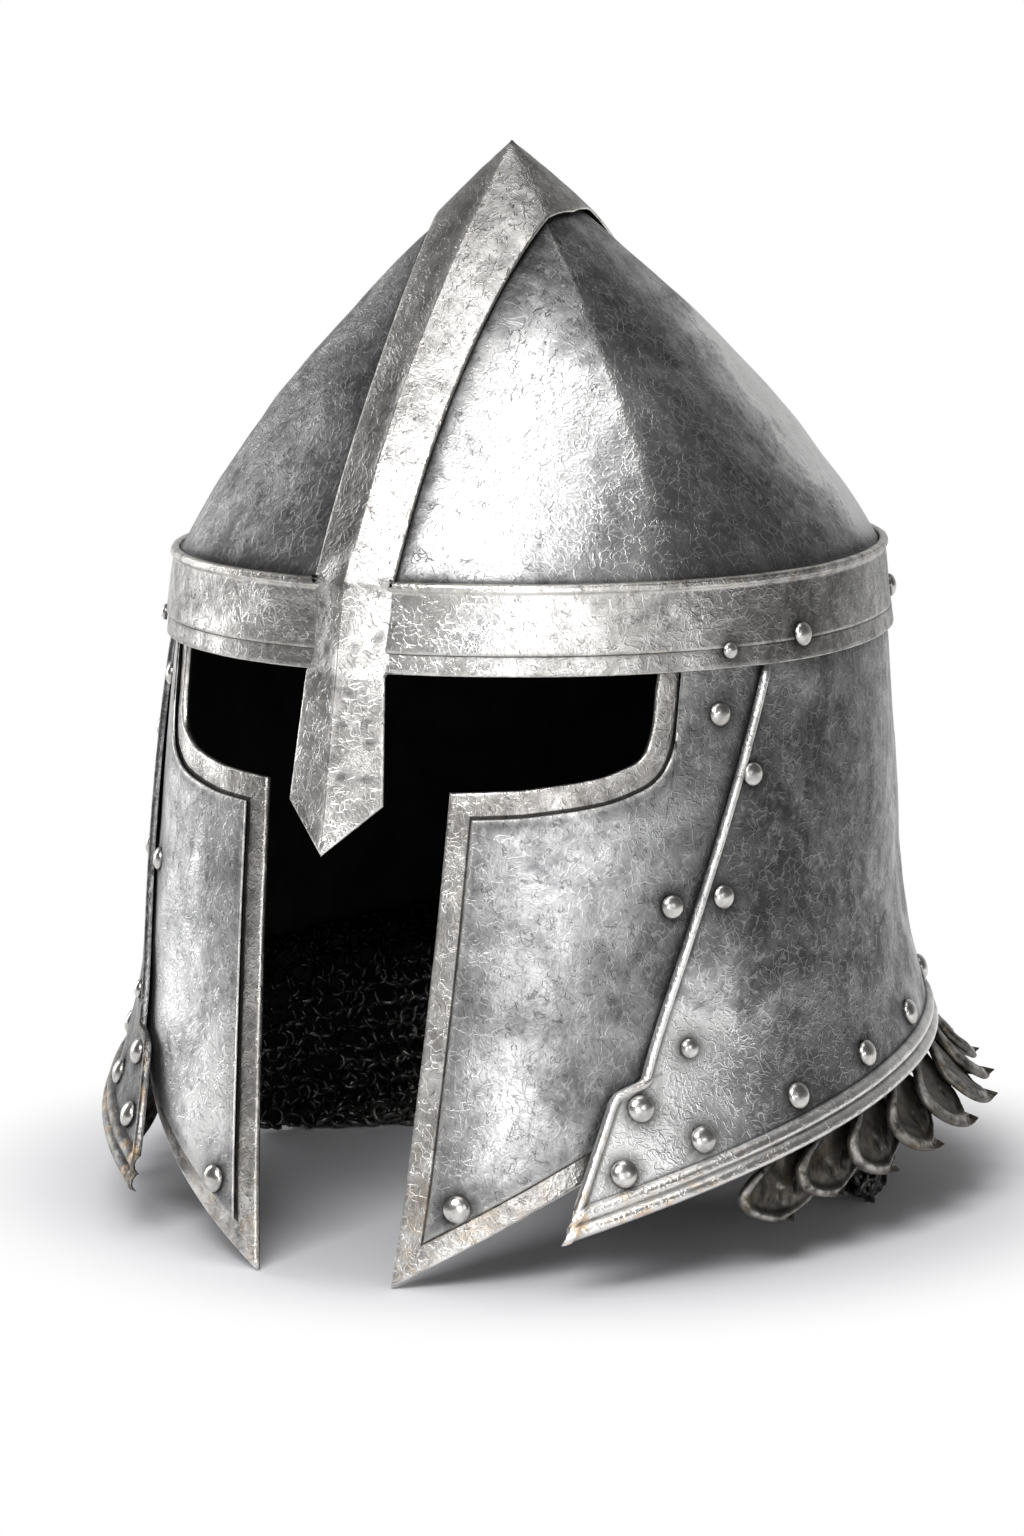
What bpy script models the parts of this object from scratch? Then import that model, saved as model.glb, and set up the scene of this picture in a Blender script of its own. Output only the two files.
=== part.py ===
"""A pointed steel helmet with an open T-shaped face, a riveted back plate and a scale neck guard.

Metres, +Z up. The helmet stands on its two cheek tips and on the mail of its neck guard, and it
faces -Y, so +X is the wearer's left. Angles are measured round the head from the front, in degrees.
"""

import math

import bmesh
import bpy
from mathutils import Matrix, Vector

# Driving dimensions of the whole helmet
HELMET_HEIGHT = 0.330  # floor to the point of the skull
FACE_HEIGHT = 0.1788  # floor to the lower edge of the brow band
BAND_HEIGHT = 0.0268
HALF_WIDTH = 0.1107  # outside of the brow band
FRONT_REACH = 0.1119  # from the plan's centre to the front of the brow band
BACK_REACH = 0.1419
PLAN_CENTRE_Y = 0.0063  # the plan's centre lies this far behind the point of the skull

# Sheets and the gap that keeps one layer clear of the next
BAND_SHEET = 0.0016
SKULL_SHEET = 0.0015
BACK_SHEET = 0.0014
CHEEK_SHEET = 0.0013
FACE_SHEET = 0.0014
SCALE_SHEET = 0.0018
MAIL_WALL = 0.0030
LAYER_GAP = 0.00045

# Brow band
BAND_LEAN = 0.0033  # how far its top edge leans in
BAND_BEAD = 0.0009  # how far the rolled top edge stands out
BAND_BEAD_HEIGHT = 0.0032
STRIP_HEIGHT = 0.0060  # stepped strip along the lower edge, in front only
STRIP_DEPTH = 0.0007
STRIP_END_ANGLE = 68.0
TUCK = 0.0110  # how far the plates below reach up behind the band
SKIRT = 0.0090  # how far the skull reaches down behind the band

# Skull: six sides between creases, pulled up to a point
CREASE_ANGLES = (0.0, 52.5, 117.5, 180.0)
SKULL_BULGE = 0.41
FACET_DEPTH_BASE = 0.018  # hollow of a side against its creases, as a share of the radius
FACET_DEPTH_TOP = 0.050

# Crest band and nasal, one strip with a ridge down its middle
CREST_HALF_WIDTH = 0.0133
CREST_HALF_WIDTH_TOP = 0.0215
CREST_SHEET = 0.0014
CREST_EDGE_RISE = 0.0030
CREST_RIDGE_RISE = 0.0052
CREST_FOOT_RISE = 0.0036  # edge's height over the skull where it passes the rolled edge
CREST_FOOT_HEIGHT = 0.0120
NASAL_LENGTH = 0.0521
NASAL_POINT_HEIGHT = 0.0146
NASAL_HALF_WIDTH = 0.0158
NASAL_SLOPE = 0.19  # how fast the nasal runs forward as it goes down
NASAL_RIDGE = 0.0067
NASAL_STAND_OFF = 0.0006
NASAL_TIP_HALF_WIDTH = 0.0004

# How far the face and back plates spread between the brow band and the floor
SPREAD_SIDE = 0.0129
SPREAD_FRONT = 0.0258
SPREAD_BACK = 0.0047

# Face opening, on the unrolled plate: angle in degrees, height as a share of FACE_HEIGHT
CHEEK_TIP_ANGLE = 11.1
CHEEK_TIP_Z = 0.0003
EYE_SIDE_ANGLE = 49.8
EYE_EDGE = (  # from under the band down the eye's outer side and in along its lower side
    (1.0, 0.997),
    (0.990, 0.966),
    (0.976, 0.910),
    (0.940, 0.862),
    (0.874, 0.843),
    (0.771, 0.828),
    (0.556, 0.814),
    (0.331, 0.809),
)
CHEEK_FRONT_EDGE = ((15.3, 0.574), (14.0, 0.371), (12.7, 0.180))
CHEEK_ROWS = (0.0, 0.12, 0.28, 0.46, 0.64, 0.82, 1.0)
CHEEK_LAP_ANGLE = 52.0  # where the cheek's lower edge ends, behind the back plate
CHEEK_LAP_Z = 0.0461
BROW_TUCK = 0.0020  # the opening's upper edge lies this far above the band's lower edge
BORDER = 0.0078  # width of the face frame that shows round the cheek plate
BORDER_LAP = 0.0050  # how far the frame runs on behind the cheek plate
FRAME_LINES = (0.0, BORDER, BORDER + BORDER_LAP)
UNROLL_RADIUS = 0.1150
EDGE_STEP = 0.0140  # longest run between points along a cut edge

# Back plate: its slanting front edge, the wing at the foot of it, and its lower rim
SEAM_FOOT_ANGLE = 45.6
SEAM_FOOT_Z = 0.0608
SEAM_TOP_ANGLE = 68.6
SEAM_POWER = 1.08
SEAM_LAP = 0.0125  # how far the cheek plate runs on behind the seam
WING_TOP_ANGLE = 40.9
WING_TOP_Z = 0.0552
WING_TIP_ANGLE = 34.0
WING_TIP_Z = 0.0160
RIM_BACK_Z = 0.0560
RIM_POWER = 2.5
RIM_FLARE = 0.0080
FLARE_HEIGHT = 0.0580
RIM_BEAD = 0.0019
RIM_BEAD_HEIGHT = 0.0043  # height of one of the rim's two beads
SEAM_BEAD = 0.0013
SEAM_BEAD_WIDTH = 0.0028

# Neck guard
SCALE_COUNT_PER_SIDE = 12
SCALE_FIRST_ANGLE = 68.5
SCALE_DROP = 0.0215  # from the rim's lower edge to a scale's tip
SCALE_ROOT_RISE = 0.0055  # how far a scale reaches up behind the rim
SCALE_ROOT_OFFSET = 0.0042
SCALE_OVERLAP = 2.0  # a scale's width over the spacing of the scales
SCALE_ROOT_WIDTH = 0.46  # as shares of the full width and of the scale's length
SCALE_NECK_END = 0.22
SCALE_WIDEST = 0.60
SCALE_FLAT_END = 0.12  # the root lies flat up to here, then lifts and splays
SCALE_LIFT_RUN = 0.18  # share of the length in which the lift comes in
SCALE_SPLAY_POWER = 1.25
SCALE_LIFT = 0.0034  # how far the forward edge stands out and the other one lies in
NAPE_LIFT = 0.0041  # the scale at the nape lies over both of its neighbours
SCALE_SPLAY_FRONT = 0.0050
SCALE_SPLAY_BACK = 0.0250
SPLAY_ANGLES = (74.0, 112.0)
MAIL_FIRST_ANGLE = 76.0
MAIL_FULL_ANGLE = 128.0  # the mail hangs to its full length from here to the nape
MAIL_FRONT_SHARE = 0.20  # share of the full length that hangs at its front end
MAIL_RISE = 0.0130
MAIL_REACH = 0.0480  # how far the mail lies inwards on the floor
MAIL_WAVE = 0.0022
MAIL_WAVES = 9

# Rivets
RIVET_DOME = 0.56  # height of a head over its radius
SMALL_HEAD = 0.0025
MEDIUM_HEAD = 0.0037
LARGE_HEAD = 0.0042
RIVET_SEAT = 0.0007  # how deep the rim's rivets sit in the back plate
RIVET_GAP = 0.00054  # keeps a head of its own clear of its plate
BAND_RIVETS = (  # name, angle in degrees, share of BAND_HEIGHT above the band's lower edge, radius
    ("band_side", 76.6, 0.28, MEDIUM_HEAD),
    ("band_rear", 122.0, 0.38, MEDIUM_HEAD),
    ("strip", 60.9, 0.20, SMALL_HEAD),
)
CHEEK_RIVETS = (  # name, angle, share of FACE_HEIGHT above the floor, radius
    ("cheek_top", 59.9, 0.924, MEDIUM_HEAD),
    ("cheek_middle", 51.1, 0.616, MEDIUM_HEAD),
    ("cheek_corner", 20.3, 0.137, LARGE_HEAD),
)
WING_RIVETS = (  # name, angle, share of the wing's height above its tip, radius
    ("wing_top", 45.4, 0.942, LARGE_HEAD),
    ("wing_tip", 42.6, 0.481, LARGE_HEAD),
)
SEAM_RIVETS = (  # name, share of FACE_HEIGHT, widths of the seam's bead behind the edge, radius
    ("seam_1", 0.822, 2.2, MEDIUM_HEAD),
    ("seam_2", 0.626, 3.0, MEDIUM_HEAD),
    ("seam_3", 0.385, 4.4, SMALL_HEAD * 1.2),
)
RIM_RIVET_ANGLES = (54.0, 70.0, 86.0, 102.0, 122.0, 142.0, 162.0)
RIM_RIVET_RISE = 0.0142

# Radial place of each layer, measured from the outside of the brow band
BACK_OUTSIDE = -BAND_SHEET - LAYER_GAP
CHEEK_OUTSIDE = BACK_OUTSIDE - BACK_SHEET - LAYER_GAP
FACE_OUTSIDE = CHEEK_OUTSIDE - CHEEK_SHEET - LAYER_GAP
BAND_TOP_Z = FACE_HEIGHT + BAND_HEIGHT
PLATE_TOP_Z = FACE_HEIGHT + TUCK
SKULL_HEIGHT = HELMET_HEIGHT - CREST_RIDGE_RISE - BAND_TOP_Z

STEEL = (0.42, 0.42, 0.43)
BRIGHT_STEEL = (0.60, 0.58, 0.55)
DARK_IRON = (0.055, 0.050, 0.046)
BLACK_MAIL = (0.030, 0.028, 0.027)


def reach_at(angle, front, back):
    return front if math.cos(angle) > 0 else back


def plan_point(angle, z, half_width, front, back, centre_y, offset=0.0):
    """A point on an egg-shaped plan, moved outwards by offset. angle is in radians."""
    reach = reach_at(angle, front, back)
    normal = Vector((math.sin(angle) / half_width, -math.cos(angle) / reach)).normalized()
    x = half_width * math.sin(angle) + offset * normal.x
    y = centre_y - reach * math.cos(angle) + offset * normal.y
    return Vector((x, y, z))


def lean_at(z):
    """The band, and what it covers, leans in above its lower edge."""
    return -BAND_LEAN * max(0.0, z - FACE_HEIGHT) / BAND_HEIGHT


def band_point(angle, z, offset=0.0):
    offset += lean_at(z)
    return plan_point(angle, z, HALF_WIDTH, FRONT_REACH, BACK_REACH, PLAN_CENTRE_Y, offset)


def body_point(angle, z, offset=0.0):
    """On the cheek plate's outer surface, or offset from it."""
    drop = max(0.0, 1 - z / FACE_HEIGHT)
    half_width = HALF_WIDTH + CHEEK_OUTSIDE + SPREAD_SIDE * drop**0.9
    front = FRONT_REACH + CHEEK_OUTSIDE + SPREAD_FRONT * drop
    back = BACK_REACH + CHEEK_OUTSIDE + SPREAD_BACK * drop**0.8
    return plan_point(angle, z, half_width, front, back, PLAN_CENTRE_Y, offset + lean_at(z))


def rim_z(angle):
    """Height of the back plate's lower edge, which climbs from the wing's tip to the nape."""
    share = (math.pi - abs(angle)) / (math.pi - math.radians(WING_TIP_ANGLE))
    return RIM_BACK_Z - (RIM_BACK_Z - WING_TIP_Z) * max(0.0, share) ** RIM_POWER


def rim_flare(angle, z):
    share = 1 - (z - rim_z(angle)) / FLARE_HEIGHT
    return RIM_FLARE * min(1.3, max(0.0, share)) ** 2


def back_point(angle, z, offset=0.0):
    """On the back plate's outer surface without its beads."""
    layer = BACK_OUTSIDE - CHEEK_OUTSIDE
    return body_point(angle, z, layer + rim_flare(angle, z) + offset)


def seam_angle(z):
    """Front edge of the back plate above the wing."""
    share = max(0.0, (z - SEAM_FOOT_Z) / (FACE_HEIGHT - SEAM_FOOT_Z))
    return math.radians(SEAM_FOOT_ANGLE + (SEAM_TOP_ANGLE - SEAM_FOOT_ANGLE) * share**SEAM_POWER)


def skull_section(t):
    """Share of the base's size, and the centre's y, at height share t of the skull."""
    return (1 - t) * (1 + SKULL_BULGE * t), PLAN_CENTRE_Y * (1 - t)


def facet_factor(angle, t):
    """Pulls a side in between its creases, more towards the point."""
    turn = abs(math.degrees(angle))
    for low, high in zip(CREASE_ANGLES, CREASE_ANGLES[1:]):
        if low <= turn <= high:
            across = (2 * turn - low - high) / (high - low)
            depth = FACET_DEPTH_BASE + (FACET_DEPTH_TOP - FACET_DEPTH_BASE) * min(1.0, 2 * t)
            return 1 - depth * (1 - across**2)
    return 1.0


def skull_sizes(grow=0.0):
    inset = -BAND_LEAN - BAND_SHEET - LAYER_GAP + grow
    return HALF_WIDTH + inset, FRONT_REACH + inset, BACK_REACH + inset


def skull_point(angle, t, grow=0.0):
    half_width, front, back = skull_sizes(grow)
    scale, centre_y = skull_section(t)
    scale *= facet_factor(angle, t)
    z = BAND_TOP_Z + t * (SKULL_HEIGHT + grow)
    x = half_width * scale * math.sin(angle)
    y = centre_y - reach_at(angle, front, back) * scale * math.cos(angle)
    return Vector((x, y, z))


def skull_z(x, y, grow):
    """Height of the skull, grown by grow, over a point of the plan."""
    half_width, front, back = skull_sizes(grow)
    low, high = 0.0, 1.0
    for _ in range(40):
        t = (low + high) / 2
        scale, centre_y = skull_section(t)
        reach = front if y < centre_y else back
        across = x / half_width
        along = (centre_y - y) / reach
        if math.hypot(across, along) < scale * facet_factor(math.atan2(across, along), t):
            low = t
        else:
            high = t
    return BAND_TOP_Z + low * (SKULL_HEIGHT + grow)


def material(name, colour, roughness, metallic):
    found = bpy.data.materials.new(name)
    found.use_nodes = True
    shader = found.node_tree.nodes["Principled BSDF"]
    shader.inputs["Base Color"].default_value = (*colour, 1.0)
    shader.inputs["Roughness"].default_value = roughness
    shader.inputs["Metallic"].default_value = metallic
    found.diffuse_color = (*colour, 1.0)
    return found


def finish_mesh(name, bm, collection, surface):
    bmesh.ops.recalc_face_normals(bm, faces=bm.faces)
    mesh = bpy.data.meshes.new(name)
    bm.to_mesh(mesh)
    bm.free()
    mesh.materials.append(surface)
    mesh.shade_smooth()
    mesh.set_sharp_from_angle(angle=math.radians(32))
    piece = bpy.data.objects.new(name, mesh)
    collection.objects.link(piece)
    return piece


def add_rows(bm, rows, ring=False):
    """Faces between rows of points. A ring's rows close on themselves."""
    made = [[bm.verts.new(point) for point in row] for row in rows]
    width = len(rows[0])
    for below, above in zip(made, made[1:]):
        for i in range(width if ring else width - 1):
            j = (i + 1) % width
            bm.faces.new((below[i], below[j], above[j], above[i]))
    return made


def grid_sheet(name, rows, collection, surface):
    """An open surface through rows of points."""
    bm = bmesh.new()
    add_rows(bm, rows)
    return finish_mesh(name, bm, collection, surface)


def outward(piece, towards_outside):
    """Turns the sheet so that its faces look away from the head."""
    mesh = piece.data
    total = sum(face.area * face.normal.dot(towards_outside(face.center)) for face in mesh.polygons)
    if total < 0:
        mesh.flip_normals()


def away_from_axis(point):
    return Vector((point.x, point.y - PLAN_CENTRE_Y, 0.3 * HELMET_HEIGHT))


def mirrored(piece):
    mirror = piece.modifiers.new("Mirror", "MIRROR")
    mirror.merge_threshold = 0.0001


def solidified(piece, thickness):
    solid = piece.modifiers.new("Solidify", "SOLIDIFY")
    solid.thickness = thickness
    solid.offset = -1


def united(piece, other):
    union = piece.modifiers.new("Union", "BOOLEAN")
    union.operation = "UNION"
    union.solver = "EXACT"
    union.object = other


def spread(low, high, count):
    return [low + (high - low) * i / (count - 1) for i in range(count)]


def crease_spread(steps=(5, 6, 5)):
    """Angles all round the head with a column on each crease."""
    half = [0.0]
    for low, high, count in zip(CREASE_ANGLES, CREASE_ANGLES[1:], steps):
        half += [math.radians(low + (high - low) * (i + 1) / count) for i in range(count)]
    return half + [2 * math.pi - angle for angle in reversed(half[1:-1])]


def signed(angle):
    return angle if angle <= math.pi else angle - 2 * math.pi


def build_skull(collection, surface):
    angles = [signed(angle) for angle in crease_spread()]
    rows = []
    for z in (BAND_TOP_Z - SKIRT, BAND_TOP_Z - SKIRT / 3):
        offset = -BAND_SHEET - LAYER_GAP
        rows.append([band_point(angle, z, offset) for angle in angles])
    shares = (0.0, 0.09, 0.20, 0.33, 0.47, 0.61, 0.75, 0.87, 0.96)
    rows += [[skull_point(angle, t) for angle in angles] for t in shares]
    bm = bmesh.new()
    last = add_rows(bm, rows, ring=True)[-1]
    point = bm.verts.new(skull_point(0.0, 1.0))
    for i in range(len(angles)):
        bm.faces.new((last[i], last[(i + 1) % len(angles)], point))
    skull = finish_mesh("skull", bm, collection, surface)
    outward(skull, away_from_axis)
    solidified(skull, SKULL_SHEET)
    return skull


def band_profile(angle):
    """Section of the brow band as (offset, z), outside first, from the lower edge up."""
    fade = (STRIP_END_ANGLE - abs(math.degrees(angle))) / 4
    step = STRIP_DEPTH * min(1.0, max(0.0, fade))
    strip_z = FACE_HEIGHT + STRIP_HEIGHT
    bead_z = BAND_TOP_Z - BAND_BEAD_HEIGHT
    return (
        (-step, FACE_HEIGHT),
        (-step, strip_z),
        (0.0, strip_z + STRIP_DEPTH),
        (0.0, bead_z),
        (BAND_BEAD, bead_z + 0.3 * BAND_BEAD_HEIGHT),
        (BAND_BEAD, bead_z + 0.75 * BAND_BEAD_HEIGHT),
        (0.0, BAND_TOP_Z),
        (-BAND_SHEET, BAND_TOP_Z),
        (-BAND_SHEET, FACE_HEIGHT),
    )


def build_brow_band(collection, surface, segments=48):
    sections = []
    for i in range(segments):
        angle = signed(2 * math.pi * i / segments)
        sections.append([band_point(angle, z, offset) for offset, z in band_profile(angle)])
    rows = list(zip(*sections))
    rows.append(rows[0])
    bm = bmesh.new()
    add_rows(bm, rows, ring=True)
    bmesh.ops.remove_doubles(bm, verts=bm.verts, dist=0.00001)
    return finish_mesh("band_frame", bm, collection, surface)


def nasal_row(z, half_width, shares):
    """A row across the nasal: its edges lie back and its ridge stands forward."""
    edge_y = band_point(0.0, FACE_HEIGHT).y - NASAL_STAND_OFF + NASAL_SLOPE * (z - FACE_HEIGHT)
    row = []
    for share in shares:
        x = share * half_width
        y = edge_y - NASAL_RIDGE * (1 - abs(x) / NASAL_HALF_WIDTH)
        row.append(Vector((x, y, z)))
    return row


def band_row(z, shares, side, ridge):
    """A row of the strip where it crosses the brow band, in front (side -1) or behind (side 1)."""
    row = []
    for share in shares:
        x = share * CREST_HALF_WIDTH
        reach = (FRONT_REACH if side < 0 else BACK_REACH) + lean_at(z)
        bow = math.sqrt(1 - (x / HALF_WIDTH) ** 2)
        rise = NASAL_STAND_OFF + BAND_BEAD * (z - FACE_HEIGHT) / BAND_HEIGHT
        y = PLAN_CENTRE_Y + side * (reach * bow + rise + ridge * (1 - abs(share)))
        row.append(Vector((x, y, z)))
    return row


def crest_row(t, side, shares):
    """A row of the strip over the skull, at height share t on the given side."""
    scale, centre_y = skull_section(t)
    front, back = skull_sizes(CREST_RIDGE_RISE)[1:]
    y = centre_y + side * (front if side < 0 else back) * scale
    half_width = CREST_HALF_WIDTH + (CREST_HALF_WIDTH_TOP - CREST_HALF_WIDTH) * t**3
    foot = max(0.0, 1 - t * SKULL_HEIGHT / CREST_FOOT_HEIGHT)
    edge = CREST_EDGE_RISE + (CREST_FOOT_RISE - CREST_EDGE_RISE) * foot
    row = []
    for share in shares:
        x = share * half_width
        grow = CREST_RIDGE_RISE + (edge - CREST_RIDGE_RISE) * abs(share)
        row.append(Vector((x, y, skull_z(x, y, grow))))
    return row


def build_crest_and_nasal(collection, surface):
    """The strip from the nasal's point over the skull to the back of the brow band."""
    shares = (-1.0, -0.72, -0.42, 0.0, 0.42, 0.72, 1.0)
    tip_z = FACE_HEIGHT - NASAL_LENGTH
    corner_z = tip_z + NASAL_POINT_HEIGHT
    middle_z = (corner_z + FACE_HEIGHT) / 2
    middle_half = (NASAL_HALF_WIDTH + CREST_HALF_WIDTH) / 2
    rows = [
        nasal_row(tip_z, NASAL_TIP_HALF_WIDTH, shares),
        nasal_row(corner_z, NASAL_HALF_WIDTH, shares),
        nasal_row(middle_z, middle_half, shares),
        band_row(FACE_HEIGHT, shares, -1, NASAL_RIDGE),
        band_row(FACE_HEIGHT + 0.5 * BAND_HEIGHT, shares, -1, NASAL_RIDGE * 0.9),
    ]
    heights = (0.03, 0.10, 0.20, 0.32, 0.45, 0.58, 0.71, 0.82, 0.91, 0.97)
    rows += [crest_row(t, -1, shares) for t in heights]
    rows.append(crest_row(1.0, -1, shares))
    rows += [crest_row(t, 1, shares) for t in reversed(heights)]
    rows.append(band_row(FACE_HEIGHT + 0.5 * BAND_HEIGHT, shares, 1, NASAL_RIDGE * 0.9))
    rows.append(band_row(FACE_HEIGHT + STRIP_HEIGHT / 2, shares, 1, NASAL_RIDGE * 0.8))
    strip = grid_sheet("crest_strip", rows, collection, surface)
    outward(strip, away_from_axis)
    solidified(strip, CREST_SHEET)
    return strip


def unroll(angle_degrees, z):
    return Vector((math.radians(angle_degrees) * UNROLL_RADIUS, z))


def roll(point, offset):
    return body_point(point.x / UNROLL_RADIUS, point.y, offset)


def inset(path, distance):
    """Moves an open path to its left by distance, with its corners mitred."""
    moved = []
    for i, point in enumerate(path):
        before = path[i - 1] if i else None
        after = path[i + 1] if i + 1 < len(path) else None
        ways = [(point - before).normalized()] if before is not None else []
        ways += [(after - point).normalized()] if after is not None else []
        sides = [Vector((-way.y, way.x)) for way in ways]
        middle = sum(sides, Vector((0.0, 0.0))).normalized()
        moved.append(point + middle * distance / middle.dot(sides[0]))
    return moved


def refined_like(guide, path):
    """Adds points to a path, as many in each run as keep the guide's runs under EDGE_STEP."""
    finer = [path[0]]
    for i in range(len(path) - 1):
        count = math.ceil((guide[i + 1] - guide[i]).length / EDGE_STEP - 1e-6)
        finer += [path[i].lerp(path[i + 1], (k + 1) / count) for k in range(count)]
    return finer


def face_edge():
    """Half of the face opening's edge, unrolled: brow, eye side, eye's lower side, cheek, foot."""
    path = [unroll(angle, FACE_HEIGHT + BROW_TUCK) for angle in (0.0, EYE_SIDE_ANGLE)]
    path += [unroll(EYE_SIDE_ANGLE * angle, FACE_HEIGHT * z) for angle, z in EYE_EDGE]
    path += [unroll(angle, FACE_HEIGHT * z) for angle, z in CHEEK_FRONT_EDGE]
    return path + [unroll(CHEEK_TIP_ANGLE, CHEEK_TIP_Z), unroll(CHEEK_LAP_ANGLE, CHEEK_LAP_Z)]


def build_face_frame(collection, surface):
    """The under layer: a strip round the face opening, whose edge shows as a border."""
    edge = face_edge()
    layer = FACE_OUTSIDE - CHEEK_OUTSIDE
    paths = [refined_like(edge, inset(edge, distance)) for distance in FRAME_LINES]
    rows = [[roll(point, layer) for point in path] for path in paths]
    frame = grid_sheet("face_frame", rows, collection, surface)
    outward(frame, away_from_axis)
    mirrored(frame)
    solidified(frame, FACE_SHEET)
    return frame


def along(path, share):
    """The point at a share of a path's length."""
    lengths = [(b - a).length for a, b in zip(path, path[1:])]
    left = share * sum(lengths)
    for start, end, length in zip(path, path[1:], lengths):
        if left <= length:
            return start.lerp(end, left / length)
        left -= length
    return path[-1]


def path_shares(path):
    """Each point's place along the path, as a share of its length."""
    places = [0.0]
    for start, end in zip(path, path[1:]):
        places.append(places[-1] + (end - start).length)
    return [place / places[-1] for place in places]


def build_cheek_plate(side, collection, surface):
    """The outer plate, inside the border and running on behind the back plate."""
    border = inset(face_edge(), BORDER)[1:]
    eye_count = 1 + len(EYE_EDGE)
    foot_at = eye_count + len(CHEEK_FRONT_EDGE)
    top_end = Vector((seam_angle(PLATE_TOP_Z) * UNROLL_RADIUS + SEAM_LAP, border[0].y))
    top_line = border[:eye_count][::-1] + [top_end]
    top_line = refined_like(top_line, top_line)
    front_line = border[eye_count - 1 : foot_at + 1][::-1]
    lower_line = border[foot_at:]
    rows = []
    for v in CHEEK_ROWS:
        row = []
        for share, head in zip(path_shares(top_line), top_line):
            foot = along(lower_line, 1 - (1 - share) ** 1.6)
            bow = along(front_line, v) - front_line[0].lerp(front_line[-1], v)
            row.append(foot.lerp(head, v) + bow * (1 - share) ** 2)
        rows.append([roll(point, 0.0) for point in row])
    for row in rows:
        for point in row:
            point.x *= side
    name = "cheek_plate_left" if side > 0 else "cheek_plate_right"
    plate = grid_sheet(name, rows, collection, surface)
    outward(plate, away_from_axis)
    solidified(plate, CHEEK_SHEET)
    return plate


def back_edge():
    """Front edge of the back plate, from the wing's tip up to the band: (angle, z) in order."""
    wing_tip = (math.radians(WING_TIP_ANGLE), WING_TIP_Z)
    wing_top = (math.radians(WING_TOP_ANGLE), WING_TOP_Z)
    jog_z = (WING_TOP_Z + SEAM_FOOT_Z) / 2
    jog = (math.radians(WING_TOP_ANGLE + 0.9), jog_z)
    seam = [(seam_angle(z), z) for z in spread(SEAM_FOOT_Z, PLATE_TOP_Z - LAYER_GAP, 5)]
    middle = tuple((a + b) / 2 for a, b in zip(wing_tip, wing_top))
    return [wing_tip, middle, wing_top, jog] + seam


def build_back_plate(collection, surface, columns=17):
    """Half of the plate round the back of the head, with its rolled edges, then mirrored."""
    edge = back_edge()
    top = PLATE_TOP_Z - LAYER_GAP
    bead_rows = ((0.0, 0.5), (0.5, 1.0), (1.0, 0.35), (1.5, 1.0), (2.0, 0.0))
    heights = [(bead * RIM_BEAD_HEIGHT, RIM_BEAD * rise) for bead, rise in bead_rows]
    shares = [(z - WING_TIP_Z) / (top - WING_TIP_Z) for _, z in edge]
    low_share = (heights[-1][0]) / (top - WING_TIP_Z)
    levels = [(height / (top - WING_TIP_Z), rise) for height, rise in heights]
    levels += [(share, 0.0) for share in shares if share > low_share * 1.3]
    last_bead_share = (FACE_HEIGHT - BROW_TUCK - WING_TIP_Z) / (top - WING_TIP_Z)
    levels.append((last_bead_share, 0.0))
    levels.sort()
    bead_columns = ((0.0, 0.0), (0.25, 1.0), (0.75, 1.0), (1.0, 0.0))

    def edge_angle(share):
        z = WING_TIP_Z + share * (top - WING_TIP_Z)
        for (a0, z0), (a1, z1) in zip(edge, edge[1:]):
            if z <= z1 + 1e-9:
                return a0 + (a1 - a0) * (z - z0) / (z1 - z0)
        return edge[-1][0]

    rows = []
    for share, rise in levels:
        start = edge_angle(share)
        row = []
        for across, swell in bead_columns:
            angle = start + across * SEAM_BEAD_WIDTH / UNROLL_RADIUS
            swell = 0.0 if share >= last_bead_share else swell
            row.append((angle, max(rise, SEAM_BEAD * swell)))
        first = row[-1][0]
        for i in range(columns):
            row.append((first + (math.pi - first) * ((i + 1) / columns) ** 1.25, rise))
        points = []
        for angle, swell in row:
            foot = rim_z(angle)
            z = foot + share * (top - foot)
            if share < low_share * 1.01:
                z = foot + share * (top - WING_TIP_Z)
            points.append(back_point(angle, z, swell))
        points[-1].x = 0.0
        rows.append(points)
    plate = grid_sheet("back_plate", rows, collection, surface)
    outward(plate, away_from_axis)
    mirrored(plate)
    solidified(plate, BACK_SHEET)
    return plate


def mail_section(angle):
    """Full hang of the mail as (offset, z), from its top edge down and inwards on the floor."""
    foot = rim_z(angle)
    wave = MAIL_WAVE * math.sin(MAIL_WAVES * angle)
    return [
        Vector((RIM_FLARE * 0.16, foot + MAIL_RISE)),
        Vector((-RIM_FLARE * 0.20, foot)),
        Vector((-MAIL_WALL * 0.9 + 0.5 * wave, foot * 0.62)),
        Vector((-MAIL_WALL * 1.5 + wave, foot * 0.28)),
        Vector((-MAIL_REACH * 0.14 + wave, MAIL_WALL * 0.3)),
        Vector((-MAIL_REACH * 0.24, 0.0)),
        Vector((-MAIL_REACH * 0.62, 0.0)),
        Vector((-MAIL_REACH, 0.0)),
    ]


def mail_length_share(angle):
    """Short at its front end, where it only just shows, and full from MAIL_FULL_ANGLE on."""
    share = (math.degrees(angle) - MAIL_FIRST_ANGLE) / (MAIL_FULL_ANGLE - MAIL_FIRST_ANGLE)
    return MAIL_FRONT_SHARE + (1 - MAIL_FRONT_SHARE) * min(1.0, share)


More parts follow.
